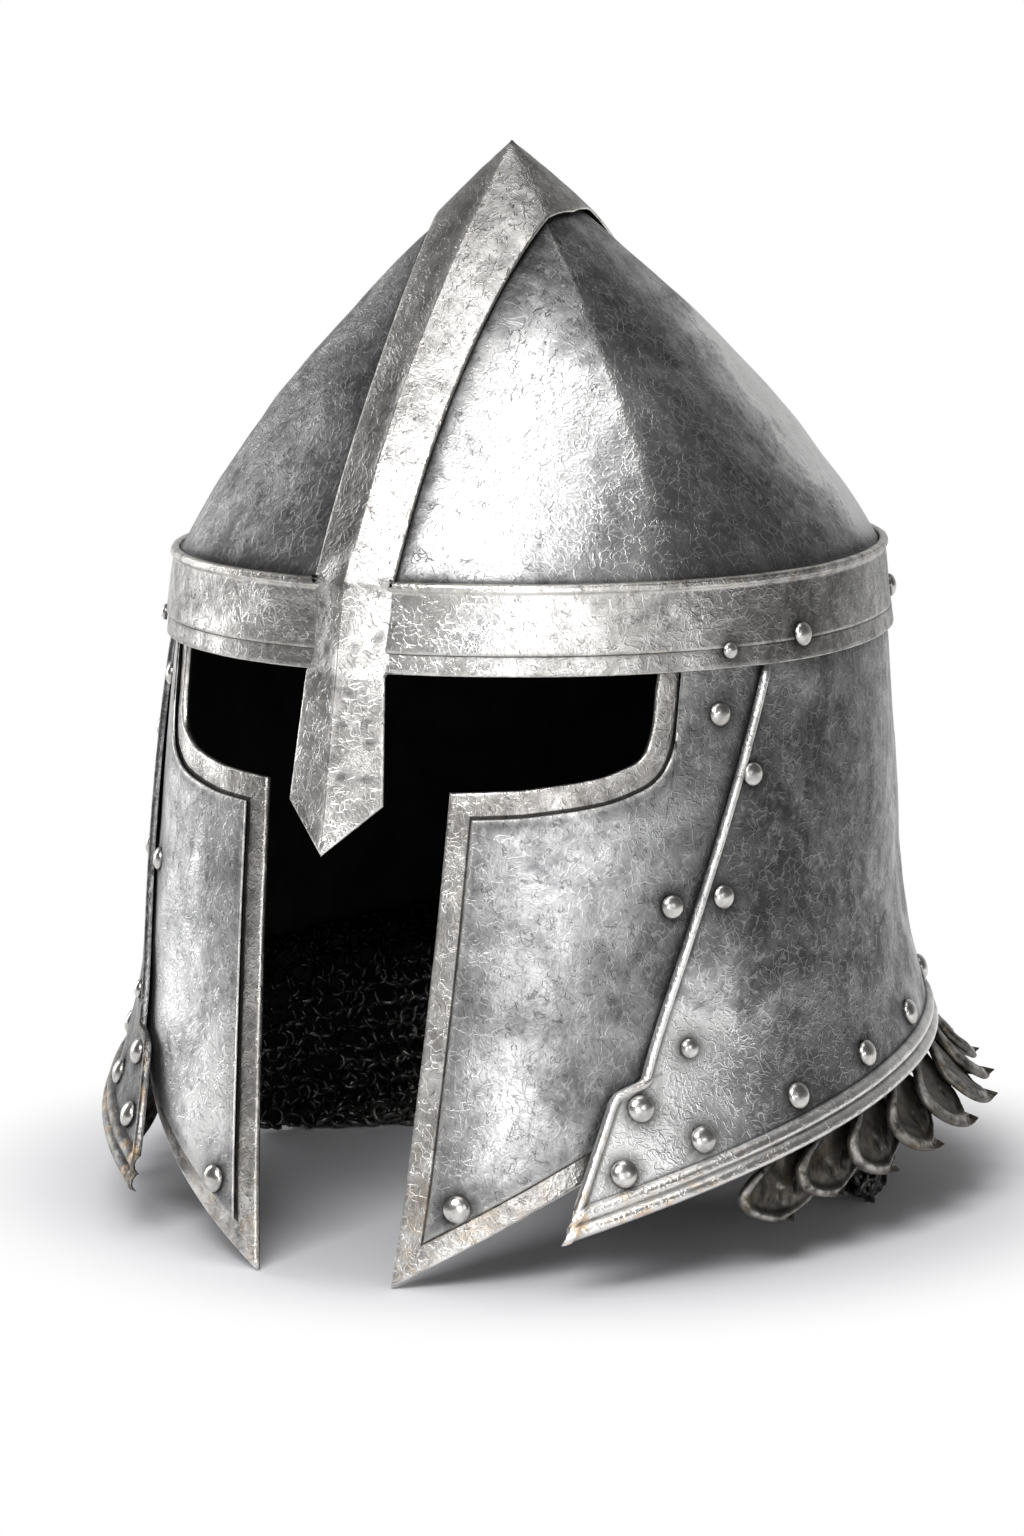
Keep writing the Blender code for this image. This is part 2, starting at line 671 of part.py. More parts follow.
def build_mail(collection, surface, columns=12):
    """Mail hanging inside the back plate and lying inwards on the floor, mirrored."""
    rows = []
    for angle in spread(math.radians(MAIL_FIRST_ANGLE), math.pi, columns + 1):
        section = mail_section(angle)
        length = mail_length_share(angle)
        shares = path_shares(section)
        hung = [along(section, share * length) for share in shares]
        row = [body_point(angle, point.y, point.x) for point in hung]
        if angle == math.pi:
            for point in row:
                point.x = 0.0
        rows.append(row)
    mail = grid_sheet("mail_curtain", rows, collection, surface)
    outward(mail, away_from_axis)
    mirrored(mail)
    solidified(mail, MAIL_WALL)
    return mail


def scale_half_width(v, widest):
    """Half width of a scale at share v of its length: narrow root, round tip."""
    if v < SCALE_NECK_END:
        return widest * SCALE_ROOT_WIDTH
    if v < SCALE_WIDEST:
        opened = math.sin(0.5 * math.pi * (v - SCALE_NECK_END) / (SCALE_WIDEST - SCALE_NECK_END))
        return widest * (SCALE_ROOT_WIDTH + (1 - SCALE_ROOT_WIDTH) * opened)
    return widest * math.sqrt(max(0.0, 1 - ((v - SCALE_WIDEST) / (1 - SCALE_WIDEST)) ** 2.2))


def build_scale(name, middle_degrees, side, collection, surface):
    """One petal-shaped scale, its forward edge lifted over the one in front of it."""
    spacing = (180.0 - SCALE_FIRST_ANGLE) / SCALE_COUNT_PER_SIDE
    widest = 0.5 * SCALE_OVERLAP * math.radians(spacing)
    middle = math.radians(middle_degrees)
    low, high = SPLAY_ANGLES
    turn = min(1.0, max(0.0, (middle_degrees - low) / (high - low)))
    tip_offset = SCALE_SPLAY_FRONT + (SCALE_SPLAY_BACK - SCALE_SPLAY_FRONT) * turn
    nape = middle_degrees == 180.0
    rows = []
    for v in (0.0, SCALE_NECK_END, SCALE_WIDEST, 0.84, 0.98):
        half = scale_half_width(v, widest)
        past_root = max(0.0, v - SCALE_FLAT_END)
        lifted = min(1.0, past_root / SCALE_LIFT_RUN)
        splayed = (past_root / (1 - SCALE_FLAT_END)) ** SCALE_SPLAY_POWER
        out = SCALE_ROOT_OFFSET + (tip_offset - SCALE_ROOT_OFFSET) * splayed
        row = []
        for u in (-1.0, -0.6, 0.0, 0.6, 1.0):
            angle = middle + u * half
            raised = lifted * (NAPE_LIFT if nape else -SCALE_LIFT * u)
            local = middle + (angle - middle) * (1 - v)
            foot = rim_z(min(local, 2 * math.pi - local))
            z = foot + SCALE_ROOT_RISE - v * (SCALE_ROOT_RISE + SCALE_DROP)
            point = body_point(signed(angle), z, out + raised)
            point.x *= side
            row.append(point)
        rows.append(row)
    scale = grid_sheet(name, rows, collection, surface)
    outward(scale, away_from_axis)
    solidified(scale, SCALE_SHEET)
    return scale


def build_scales(collection, surface):
    spacing = (180.0 - SCALE_FIRST_ANGLE) / SCALE_COUNT_PER_SIDE
    scales = []
    for i in range(SCALE_COUNT_PER_SIDE):
        for side, word in ((1, "left"), (-1, "right")):
            name = f"scale_{i + 1}_{word}"
            degrees = SCALE_FIRST_ANGLE + i * spacing
            scales.append(build_scale(name, degrees, side, collection, surface))
    scales.append(build_scale("scale_nape", 180.0, 1, collection, surface))
    return scales


def rivet_mesh(radius, height, surface):
    """A domed head that stands on its flat side."""
    bm = bmesh.new()
    bmesh.ops.create_uvsphere(bm, u_segments=10, v_segments=4, radius=radius)
    under = [vert for vert in bm.verts if vert.co.z < -radius * 0.01]
    bmesh.ops.delete(bm, geom=under, context="VERTS")
    bmesh.ops.scale(bm, vec=(1.0, 1.0, height / radius), verts=bm.verts)
    bmesh.ops.holes_fill(bm, edges=[edge for edge in bm.edges if edge.is_boundary], sides=0)
    bmesh.ops.recalc_face_normals(bm, faces=bm.faces)
    mesh = bpy.data.meshes.new(f"rivet_{radius * 2000:.1f}")
    bm.to_mesh(mesh)
    bm.free()
    mesh.materials.append(surface)
    mesh.shade_smooth()
    mesh.set_sharp_from_angle(angle=math.radians(50))
    return mesh


def seat_on(surface_point, angle, z, rise):
    """Stands a head rise above a surface that is given as a function of angle and height."""
    small = 0.002
    here = surface_point(angle, z)
    across = surface_point(angle + small / UNROLL_RADIUS, z) - here
    up = surface_point(angle, z + small) - here
    normal = across.cross(up).normalized()
    if normal.dot(away_from_axis(here)) < 0:
        normal.negate()
    return Matrix.Translation(here + normal * rise) @ normal.to_track_quat("Z", "Y").to_matrix().to_4x4()


def build_rivets(collection, surface):
    """The heads on the band, the cheek plates and the back plate's front edges."""
    placed = []
    for name, degrees, share, radius in BAND_RIVETS:
        placed.append((name, band_point, degrees, FACE_HEIGHT + share * BAND_HEIGHT, radius))
    for name, degrees, share, radius in CHEEK_RIVETS:
        placed.append((name, body_point, degrees, share * FACE_HEIGHT, radius))
    for name, degrees, share, radius in WING_RIVETS:
        z = WING_TIP_Z + share * (WING_TOP_Z - WING_TIP_Z)
        placed.append((name, back_point, degrees, z, radius))
    for name, share, behind, radius in SEAM_RIVETS:
        z = share * FACE_HEIGHT
        degrees = math.degrees(seam_angle(z) + behind * SEAM_BEAD_WIDTH / UNROLL_RADIUS)
        placed.append((name, back_point, degrees, z, radius))
    meshes = {}
    rivets = []
    for name, surface_point, degrees, z, radius in placed:
        if radius not in meshes:
            meshes[radius] = rivet_mesh(radius, RIVET_DOME * radius, surface)
        for side, word in ((1, "left"), (-1, "right")):
            rivet = bpy.data.objects.new(f"rivet_{name}_{word}", meshes[radius])
            collection.objects.link(rivet)
            angle = side * math.radians(degrees)
            rivet.matrix_world = seat_on(surface_point, angle, z, RIVET_GAP)
            rivets.append(rivet)
    return rivets


def build_rim_rivets(collection, surface):
    """The heads along the rim, closed down into the back plate."""
    head = rivet_mesh(LARGE_HEAD, RIVET_DOME * LARGE_HEAD + RIVET_SEAT, surface)
    bm = bmesh.new()
    for degrees in RIM_RIVET_ANGLES:
        for side in (1, -1):
            angle = side * math.radians(degrees)
            first = len(bm.verts)
            bm.from_mesh(head)
            bm.verts.ensure_lookup_table()
            place = seat_on(back_point, angle, rim_z(angle) + RIM_RIVET_RISE, -RIVET_SEAT)
            bmesh.ops.transform(bm, matrix=place, verts=bm.verts[first:])
    return finish_mesh("rim_rivets", bm, collection, surface)


def new_collection(name):
    made = bpy.data.collections.new(name)
    bpy.context.scene.collection.children.link(made)
    return made


def centre_on_origin(pieces):
    """Stands the helmet with the middle of its footprint at the origin."""
    bpy.context.view_layer.update()
    graph = bpy.context.evaluated_depsgraph_get()
    ys = []
    for piece in pieces:
        evaluated = piece.evaluated_get(graph)
        ys += [(evaluated.matrix_world @ Vector(corner)).y for corner in evaluated.bound_box]
    stand = bpy.data.objects.new("helmet", None)
    bpy.context.scene.collection.objects.link(stand)
    for piece in pieces:
        piece.parent = stand
    stand.location.y = -(min(ys) + max(ys)) / 2


def main():
    for thing in list(bpy.data.objects):
        bpy.data.objects.remove(thing)
    parts = new_collection("medieval_helmet")
    helpers = new_collection("joined_shapes")
    steel = material("worn_steel", STEEL, 0.38, 1.0)
    bright = material("bright_steel", BRIGHT_STEEL, 0.30, 1.0)
    iron = material("dark_iron", DARK_IRON, 0.55, 0.8)
    mail_black = material("black_mail", BLACK_MAIL, 0.60, 0.7)

    pieces = [build_skull(parts, steel)]
    band = build_brow_band(parts, bright)
    strip = build_crest_and_nasal(helpers, bright)
    united(band, strip)
    pieces.append(band)
    pieces.append(build_face_frame(parts, bright))
    for side in (1, -1):
        pieces.append(build_cheek_plate(side, parts, steel))
    back = build_back_plate(parts, steel)
    heads = build_rim_rivets(helpers, bright)
    united(back, heads)
    pieces.append(back)
    pieces.append(build_mail(parts, mail_black))
    pieces += build_scales(parts, iron)
    pieces += build_rivets(parts, bright)
    for helper in (strip, heads):
        helper.hide_render = True
        helper.display_type = "WIRE"
    centre_on_origin(pieces + [strip, heads])


main()
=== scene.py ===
"""Looks of a pointed steel helmet with a riveted back plate, a scale neck guard and mail inside it.

Metres, +Z up. The helmet faces -Y and +X is the wearer's left. Angles go round the head from the front.
"""

import math

import bmesh
import bpy
import numpy as np
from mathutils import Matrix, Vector, noise


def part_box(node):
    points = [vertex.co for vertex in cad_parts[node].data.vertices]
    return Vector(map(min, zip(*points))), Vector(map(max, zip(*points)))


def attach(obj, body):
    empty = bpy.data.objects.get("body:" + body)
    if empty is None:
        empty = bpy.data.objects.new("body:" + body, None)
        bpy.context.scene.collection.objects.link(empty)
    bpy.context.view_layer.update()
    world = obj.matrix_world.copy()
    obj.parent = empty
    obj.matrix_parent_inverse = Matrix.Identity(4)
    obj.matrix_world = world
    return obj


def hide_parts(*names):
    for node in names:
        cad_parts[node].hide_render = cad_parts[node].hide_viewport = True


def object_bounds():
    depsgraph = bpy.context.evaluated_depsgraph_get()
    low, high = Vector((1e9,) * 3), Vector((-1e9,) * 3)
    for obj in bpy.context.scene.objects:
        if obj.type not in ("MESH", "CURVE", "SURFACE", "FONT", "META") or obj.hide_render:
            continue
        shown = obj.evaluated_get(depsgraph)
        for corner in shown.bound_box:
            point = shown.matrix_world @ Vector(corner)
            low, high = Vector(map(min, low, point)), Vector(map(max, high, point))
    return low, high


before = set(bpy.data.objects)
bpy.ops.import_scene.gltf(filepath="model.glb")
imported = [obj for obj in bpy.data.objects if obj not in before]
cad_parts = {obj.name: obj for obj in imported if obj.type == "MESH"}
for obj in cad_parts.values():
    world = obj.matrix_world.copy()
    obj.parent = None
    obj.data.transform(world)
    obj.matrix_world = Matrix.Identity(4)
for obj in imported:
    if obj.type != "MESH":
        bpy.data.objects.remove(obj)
cad_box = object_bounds()

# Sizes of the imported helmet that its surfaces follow
FACE_HEIGHT = 0.1788
BAND_HEIGHT = 0.0268
HALF_WIDTH = 0.1107
FRONT_REACH = 0.1119
BACK_REACH = 0.1419
PLAN_CENTRE_Y = 0.0063
BAND_SHEET = 0.0016
SKULL_SHEET = 0.0015
BACK_SHEET = 0.0014
CHEEK_SHEET = 0.0013
LAYER_GAP = 0.00045
BAND_LEAN = 0.0033
BAND_BEAD = 0.0009
BAND_BEAD_HEIGHT = 0.0032
STRIP_HEIGHT = 0.0060
STRIP_DEPTH = 0.0007
STRIP_END_ANGLE = 68.0
TUCK = 0.0110
SKIRT = 0.0090
CREASE_ANGLES = (0.0, 52.5, 117.5, 180.0)
SKULL_BULGE = 0.41
FACET_DEPTH_BASE = 0.018
FACET_DEPTH_TOP = 0.050
CREST_HALF_WIDTH = 0.0133
CREST_HALF_WIDTH_TOP = 0.0215
CREST_SHEET = 0.0014
CREST_EDGE_RISE = 0.0030
CREST_RIDGE_RISE = 0.0052
CREST_FOOT_RISE = 0.0036
CREST_FOOT_HEIGHT = 0.0120
NASAL_LENGTH = 0.0521
NASAL_POINT_HEIGHT = 0.0146
NASAL_HALF_WIDTH = 0.0158
NASAL_SLOPE = 0.19
NASAL_RIDGE = 0.0067
NASAL_STAND_OFF = 0.0006
SPREAD_SIDE = 0.0129
SPREAD_FRONT = 0.0258
SPREAD_BACK = 0.0047
CHEEK_TIP_ANGLE = 11.1
CHEEK_TIP_Z = 0.0003
EYE_SIDE_ANGLE = 49.8
EYE_EDGE = (
    (1.0, 0.997),
    (0.990, 0.966),
    (0.976, 0.910),
    (0.940, 0.862),
    (0.874, 0.843),
    (0.771, 0.828),
    (0.556, 0.814),
    (0.331, 0.809),
)
CHEEK_FRONT_EDGE = ((15.3, 0.574), (14.0, 0.371), (12.7, 0.180))
CHEEK_LAP_ANGLE = 52.0
CHEEK_LAP_Z = 0.0461
BROW_TUCK = 0.0020
BORDER = 0.0078
BORDER_LAP = 0.0050
GROOVE = 0.0010  # dark joint that shows beside the cheek plate
UNROLL_RADIUS = 0.1150
SEAM_FOOT_ANGLE = 45.6
SEAM_FOOT_Z = 0.0608
SEAM_TOP_ANGLE = 68.6
SEAM_POWER = 1.08
SEAM_LAP = 0.0125
WING_TOP_ANGLE = 40.9
WING_TOP_Z = 0.0552
WING_TIP_ANGLE = 34.0
WING_TIP_Z = 0.0160
RIM_BACK_Z = 0.0560
RIM_POWER = 2.5
RIM_FLARE = 0.0080
FLARE_HEIGHT = 0.058
RIM_BEAD = 0.0019
RIM_BEAD_HEIGHT = 0.0043
SEAM_BEAD = 0.0013
SEAM_BEAD_WIDTH = 0.0028
SCALE_COUNT_PER_SIDE = 12
SCALE_FIRST_ANGLE = 68.5
SCALE_DROP = 0.0215
SCALE_ROOT_RISE = 0.0055
SCALE_ROOT_OFFSET = 0.0042
SCALE_OVERLAP = 2.0
SCALE_ROOT_WIDTH = 0.46
SCALE_NECK_END = 0.22
SCALE_WIDEST = 0.60
SCALE_FLAT_END = 0.12
SCALE_LIFT_RUN = 0.18
SCALE_SPLAY_POWER = 1.25
SCALE_LIFT = 0.0034
NAPE_LIFT = 0.0041
SCALE_SPLAY_FRONT = 0.0050
SCALE_SPLAY_BACK = 0.0250
SCALE_SPACING = (180.0 - SCALE_FIRST_ANGLE) / SCALE_COUNT_PER_SIDE
SPLAY_ANGLES = (74.0, 112.0)
SCALE_SLITS = ((-0.0034, 0.0190, 0.45), (0.0036, 0.0182, -0.35))  # across, along, lean in radians
SCALE_LIP = 0.0008
SCALE_DISH = 0.0006
SLIT_DEPTH = 0.0012
MAIL_FIRST_ANGLE = 76.0
MAIL_FULL_ANGLE = 128.0
MAIL_FRONT_SHARE = 0.20
MAIL_RISE = 0.0130
MAIL_REACH = 0.0480
MAIL_WALL = 0.0030
MAIL_WAVE = 0.0022
MAIL_WAVES = 9
RING_RADIUS = 0.0029
RING_WIRE = 0.00095
RING_ROWS = 32
RINGS_IN_TOP_ROW = 108
RING_LEAN = 0.55
RING_DISORDER = 0.34  # spread of the rings' tilt in radians
RIVET_DOME = 0.56
RIVET_HALO = 0.0026
JOIN_DISTANCE = 3e-6  # points nearer than this become one

# Radial place of each layer, measured from the outside of the brow band
BACK_OUTSIDE = -BAND_SHEET - LAYER_GAP
CHEEK_OUTSIDE = BACK_OUTSIDE - BACK_SHEET - LAYER_GAP
FACE_OUTSIDE = CHEEK_OUTSIDE - CHEEK_SHEET - LAYER_GAP
BAND_TOP_Z = FACE_HEIGHT + BAND_HEIGHT
PLATE_TOP_Z = FACE_HEIGHT + TUCK

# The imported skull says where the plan's centre and the helmet's point lie
skull_low, skull_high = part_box("skull")
CENTRE_Y = (skull_low.y + skull_high.y) / 2 - (BACK_REACH - FRONT_REACH) / 2
POINT_Y = CENTRE_Y - PLAN_CENTRE_Y
SKULL_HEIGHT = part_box("band_frame")[1].z - CREST_RIDGE_RISE - BAND_TOP_Z


def clipped(value):
    """Keeps a value between 0 and 1."""
    return np.clip(value, 0.0, 1.0)


def bell(value, middle, reach):
    """1 at the middle, falling off on both sides over reach."""
    return np.exp(-(((value - middle) / reach) ** 2))


def close_to(value, place, reach):
    """1 at a place, with a sharp peak, falling off over reach."""
    return np.exp(-np.abs(value - place) / reach)


def plan_at(angle, z, offset, half_width, front, back):
    """Points of an egg-shaped plan, moved outwards by offset."""
    reach = np.where(np.cos(angle) > 0, front, back)
    out_x = np.sin(angle) / half_width
    out_y = -np.cos(angle) / reach
    size = np.hypot(out_x, out_y)
    x = half_width * np.sin(angle) + offset * out_x / size
    y = CENTRE_Y - reach * np.cos(angle) + offset * out_y / size
    return np.stack([x, y, z + 0 * x], axis=-1)


def lean_at(z):
    """How far the band leans in at a height."""
    return -BAND_LEAN * np.maximum(0.0, z - FACE_HEIGHT) / BAND_HEIGHT


def band_at(angle, z, offset=0.0):
    return plan_at(angle, z, offset + lean_at(z), HALF_WIDTH, FRONT_REACH, BACK_REACH)


def body_at(angle, z, offset=0.0):
    """The cheek plates' outer surface, or offset from it."""
    drop = np.maximum(0.0, 1 - z / FACE_HEIGHT)
    half_width = HALF_WIDTH + CHEEK_OUTSIDE + SPREAD_SIDE * drop**0.9
    front = FRONT_REACH + CHEEK_OUTSIDE + SPREAD_FRONT * drop
    back = BACK_REACH + CHEEK_OUTSIDE + SPREAD_BACK * drop**0.8
    return plan_at(angle, z, offset + lean_at(z), half_width, front, back)


def rim_z(angle):
    """Height of the back plate's lower rim, which climbs from the wing's tip to the back."""
    share = (math.pi - np.abs(angle)) / (math.pi - math.radians(WING_TIP_ANGLE))
    return RIM_BACK_Z - (RIM_BACK_Z - WING_TIP_Z) * np.maximum(0.0, share) ** RIM_POWER


def back_at(angle, z, offset=0.0):
    """The back plate's outer surface without its beads."""
    share = np.clip(1 - (z - rim_z(angle)) / FLARE_HEIGHT, 0.0, 1.3)
    return body_at(angle, z, BACK_OUTSIDE - CHEEK_OUTSIDE + RIM_FLARE * share**2 + offset)


def seam_angle(z):
    """Angle of the back plate's slanting front edge at a height."""
    share = np.maximum(0.0, (z - SEAM_FOOT_Z) / (FACE_HEIGHT - SEAM_FOOT_Z))
    return np.radians(SEAM_FOOT_ANGLE + (SEAM_TOP_ANGLE - SEAM_FOOT_ANGLE) * share**SEAM_POWER)


def facet_factor(angle, t):
    """Pulls a side of the skull in between its creases, more towards the point."""
    turn = np.abs(np.degrees((angle + math.pi) % (2 * math.pi) - math.pi))
    depth = FACET_DEPTH_BASE + (FACET_DEPTH_TOP - FACET_DEPTH_BASE) * np.minimum(1.0, 2 * t)
    side = np.clip(np.searchsorted(CREASE_ANGLES, turn, side="right") - 1, 0, len(CREASE_ANGLES) - 2)
    low = np.array(CREASE_ANGLES)[side]
    high = np.array(CREASE_ANGLES)[side + 1]
    across = (2 * turn - low - high) / (high - low)
    return 1 - depth * (1 - across**2)


def skull_sizes(grow):
    change = -BAND_LEAN - BAND_SHEET - LAYER_GAP + grow
    return HALF_WIDTH + change, FRONT_REACH + change, BACK_REACH + change


def skull_at(angle, t, grow=0.0):
    """Points of the skull: t is 0 at its foot and 1 at its point."""
    half_width, front, back = skull_sizes(grow)
    scale = (1 - t) * (1 + SKULL_BULGE * t) * facet_factor(angle, t)
    x = half_width * scale * np.sin(angle)
    y = POINT_Y + PLAN_CENTRE_Y * (1 - t) - np.where(np.cos(angle) > 0, front, back) * scale * np.cos(angle)
    return np.stack([x, y, BAND_TOP_Z + t * (SKULL_HEIGHT + grow) + 0 * x], axis=-1)


def skull_z(x, y, grow):
    """Height of the skull, grown by grow, over points of the plan."""
    half_width, front, back = skull_sizes(grow)
    low = np.zeros_like(x)
    high = np.ones_like(x)
    for _ in range(40):
        t = (low + high) / 2
        scale = (1 - t) * (1 + SKULL_BULGE * t)
        centre_y = POINT_Y + PLAN_CENTRE_Y * (1 - t)
        across = x / half_width
        along = (centre_y - y) / np.where(y < centre_y, front, back)
        inside = np.hypot(across, along) < scale * facet_factor(np.arctan2(across, along), t)
        low = np.where(inside, t, low)
        high = np.where(inside, high, t)
    return BAND_TOP_Z + low * (SKULL_HEIGHT + grow)


def normals_of(points, wrap=False):
    """Unit normals of a grid of points, turned away from the head's axis."""
    if wrap:
        across = np.roll(points, -1, axis=1) - np.roll(points, 1, axis=1)
    else:
        across = np.gradient(points, axis=1)
    normal = np.cross(across, np.gradient(points, axis=0))
    size = np.linalg.norm(normal, axis=-1, keepdims=True)
    normal = normal / np.maximum(size, 1e-12)
    centre = np.array([0.0, CENTRE_Y, 0.05])
    turn = np.sign(np.sum(normal * (points - centre)))
    return normal * turn


def waves(points, length, depth, seed):
    """Smooth shallow dents over points, as a height for each."""
    flat = points.reshape(-1, 3) / length + seed * 7.31
    made = [noise.noise(Vector(p)) for p in flat.tolist()]
    return depth * np.array(made).reshape(points.shape[:-1])


def steps(length, fine, coarse, reach=0.003):
    """Distances along length, close together near both ends."""
    near = [0.0, 0.00012, 0.00035, 0.0007]
    while near[-1] + fine < reach:
        near.append(near[-1] + fine)
    count = max(2, round((length - 2 * near[-1]) / coarse))
    middle = np.linspace(near[-1], length - near[-1], count + 1)[1:-1]
    return np.concatenate([near, middle, length - np.array(near[::-1])])


def rounded_drop(distance, radius):
    """How far a rounded edge falls below the sheet's face at a distance from the edge."""
    inside = clipped(1 - distance / radius)
    return radius * (1 - np.sqrt(1 - inside**2))


def quads_of(rows, cols, wrap):
    index = np.arange(rows * cols).reshape(rows, cols)
    left = index if wrap else index[:, :-1]
    right = np.roll(index, -1, axis=1) if wrap else index[:, 1:]
    return np.stack([left[:-1], right[:-1], right[1:], left[1:]], axis=-1).reshape(-1, 4)


def edge_loop(rows, cols, wrap):
    """The grid's border, as one loop or as two on a ring."""
    index = np.arange(rows * cols).reshape(rows, cols)
    if wrap:
        return [list(index[0]), list(index[-1])]
    around = list(index[0]) + list(index[1:, -1]) + list(index[-1, -2::-1]) + list(index[-2:0:-1, 0])
    return [around]


def make_mesh(name, points, faces, layers, surface):
    """A mesh object with named point layers, its close points joined."""
    mesh = bpy.data.meshes.new(name)
    mesh.from_pydata(points.tolist(), [], faces)
    for layer, values in layers.items():
        made = mesh.attributes.new(layer, "FLOAT", "POINT")
        made.data.foreach_set("value", np.ravel(values).astype(np.float32))
    bm = bmesh.new()
    bm.from_mesh(mesh)
    bmesh.ops.remove_doubles(bm, verts=bm.verts, dist=JOIN_DISTANCE)
    bmesh.ops.recalc_face_normals(bm, faces=bm.faces)
    bm.to_mesh(mesh)
    bm.free()
    mesh.shade_smooth()
    mesh.materials.append(surface)
    piece = bpy.data.objects.new(name, mesh)
    bpy.context.scene.collection.objects.link(piece)
    return piece


def shell(name, points, normals, thickness, drop, layers, surface, inside, wrap=False):
    """A closed sheet: its outer face runs through points, and drop rounds its edges off."""
    rows, cols = points.shape[:2]
    thickness = thickness + 0 * drop
    outer = points - normals * drop[..., None]
    inner = points - normals * np.maximum(thickness - drop, drop)[..., None]
    flat = np.concatenate([outer.reshape(-1, 3), inner.reshape(-1, 3)])
    outer_faces = quads_of(rows, cols, wrap)
    inner_faces = outer_faces[:, ::-1] + rows * cols
    rim = []
    for loop in edge_loop(rows, cols, wrap):
        for a, b in zip(loop, loop[1:] + loop[:1]):
            rim.append((b, a, a + rows * cols, b + rows * cols))
    faces = outer_faces.tolist() + rim + inner_faces.tolist()
    doubled = {key: np.concatenate([np.ravel(value)] * 2) for key, value in layers.items()}
    doubled["inner"] = np.repeat([0.0, 1.0], rows * cols)
    piece = make_mesh(name, flat, faces, doubled, surface)
    piece.data.materials.append(inside)
    inner_layer = piece.data.attributes["inner"].data
    values = np.empty(len(inner_layer), np.float32)
    inner_layer.foreach_get("value", values)
    for face in piece.data.polygons:
        if all(values[v] > 0.5 for v in face.vertices):
            face.material_index = 1
    return piece


def mirrored(piece):
    """Adds the piece's mirror image across x = 0 to it."""
    bm = bmesh.new()
    bm.from_mesh(piece.data)
    made = bmesh.ops.duplicate(bm, geom=bm.verts[:] + bm.edges[:] + bm.faces[:])["geom"]
    copies = [item for item in made if isinstance(item, bmesh.types.BMVert)]
    bmesh.ops.scale(bm, vec=(-1.0, 1.0, 1.0), verts=copies)
    bmesh.ops.reverse_faces(bm, faces=[item for item in made if isinstance(item, bmesh.types.BMFace)])
    bmesh.ops.remove_doubles(bm, verts=bm.verts, dist=JOIN_DISTANCE)
    bm.to_mesh(piece.data)
    bm.free()
    return piece


# Unrolled paths of the face opening


def unroll(degrees, z):
    return np.array([math.radians(degrees) * UNROLL_RADIUS, z])


def rounded_path(points, count):
    """A smooth curve through points, with count runs between two of them."""
    points = np.array(points)
    ends = np.vstack([2 * points[0] - points[1], points, 2 * points[-1] - points[-2]])
    curve = []
    for i in range(1, len(ends) - 2):
        for t in np.arange(count) / count:
            a, b, c, d = ends[i - 1 : i + 3]
            square = 2 * a - 5 * b + 4 * c - d
            cube = 3 * b - a - 3 * c + d
            curve.append(0.5 * (2 * b + (c - a) * t + square * t**2 + cube * t**3))
    curve.append(points[-1])
    return np.array(curve)


def lengths_along(path):
    return np.concatenate([[0.0], np.cumsum(np.linalg.norm(np.diff(path, axis=0), axis=1))])


def point_along(path, places):
    """Points at the given distances along a path."""
    lengths = lengths_along(path)
    return np.stack([np.interp(places, lengths, path[:, k]) for k in range(2)], axis=-1)


def refined_like(guide, path, step):
    """The path with points added, as many in each run as keep the guide's runs under step."""
    finer = [path[:1]]
    for i in range(len(path) - 1):
        count = max(1, math.ceil(np.linalg.norm(guide[i + 1] - guide[i]) / step))
        share = ((np.arange(count) + 1) / count)[:, None]
        finer.append(path[i] + (path[i + 1] - path[i]) * share)
    return np.concatenate(finer)


def inset(path, distance):
    """Moves an open path to its left, with its corners mitred."""
    ways = np.diff(path, axis=0)
    ways /= np.linalg.norm(ways, axis=1, keepdims=True)
    before = np.vstack([ways[:1], ways])
    after = np.vstack([ways, ways[-1:]])
    sides = np.stack([-before[:, 1], before[:, 0]], axis=-1)
    next_sides = np.stack([-after[:, 1], after[:, 0]], axis=-1)
    middle = sides + next_sides
    middle /= np.linalg.norm(middle, axis=1, keepdims=True)
    return path + middle * (distance / np.sum(middle * sides, axis=1))[:, None]


def opening_corners():
    """Half of the face opening's edge, and the places of the cheek's top corner and its tip in it."""
    brow = [unroll(angle, FACE_HEIGHT + BROW_TUCK) for angle in (0.0, EYE_SIDE_ANGLE)]
    eye = [unroll(EYE_SIDE_ANGLE * angle, FACE_HEIGHT * z) for angle, z in EYE_EDGE]
    path = brow + list(rounded_path(eye[:-1], 6)) + [eye[-1]]
    top_corner = len(path) - 1
    path += [unroll(angle, FACE_HEIGHT * z) for angle, z in CHEEK_FRONT_EDGE]
    path += [unroll(CHEEK_TIP_ANGLE, CHEEK_TIP_Z), unroll(CHEEK_LAP_ANGLE, CHEEK_LAP_Z)]
    return np.array(path), top_corner, len(path) - 2


def distance_to(path, flat):
    """Distance of each unrolled point from a path."""
    nearest = np.full(flat.shape[:-1], 1.0)
    for start, end in zip(path, path[1:]):
        run = end - start
        share = clipped(((flat - start) @ run) / (run @ run))
        foot = start + share[..., None] * run
        nearest = np.minimum(nearest, np.linalg.norm(flat - foot, axis=-1))
    return nearest


def surface_normals(surface, angle, z):
    """Unit normals of a surface given as a function of angle and height."""
    small = 1e-4
    across = surface(angle + small, z) - surface(angle - small, z)
    up = surface(angle, z + small) - surface(angle, z - small)
    normal = np.cross(across, up)
    return normal / np.linalg.norm(normal, axis=-1, keepdims=True)


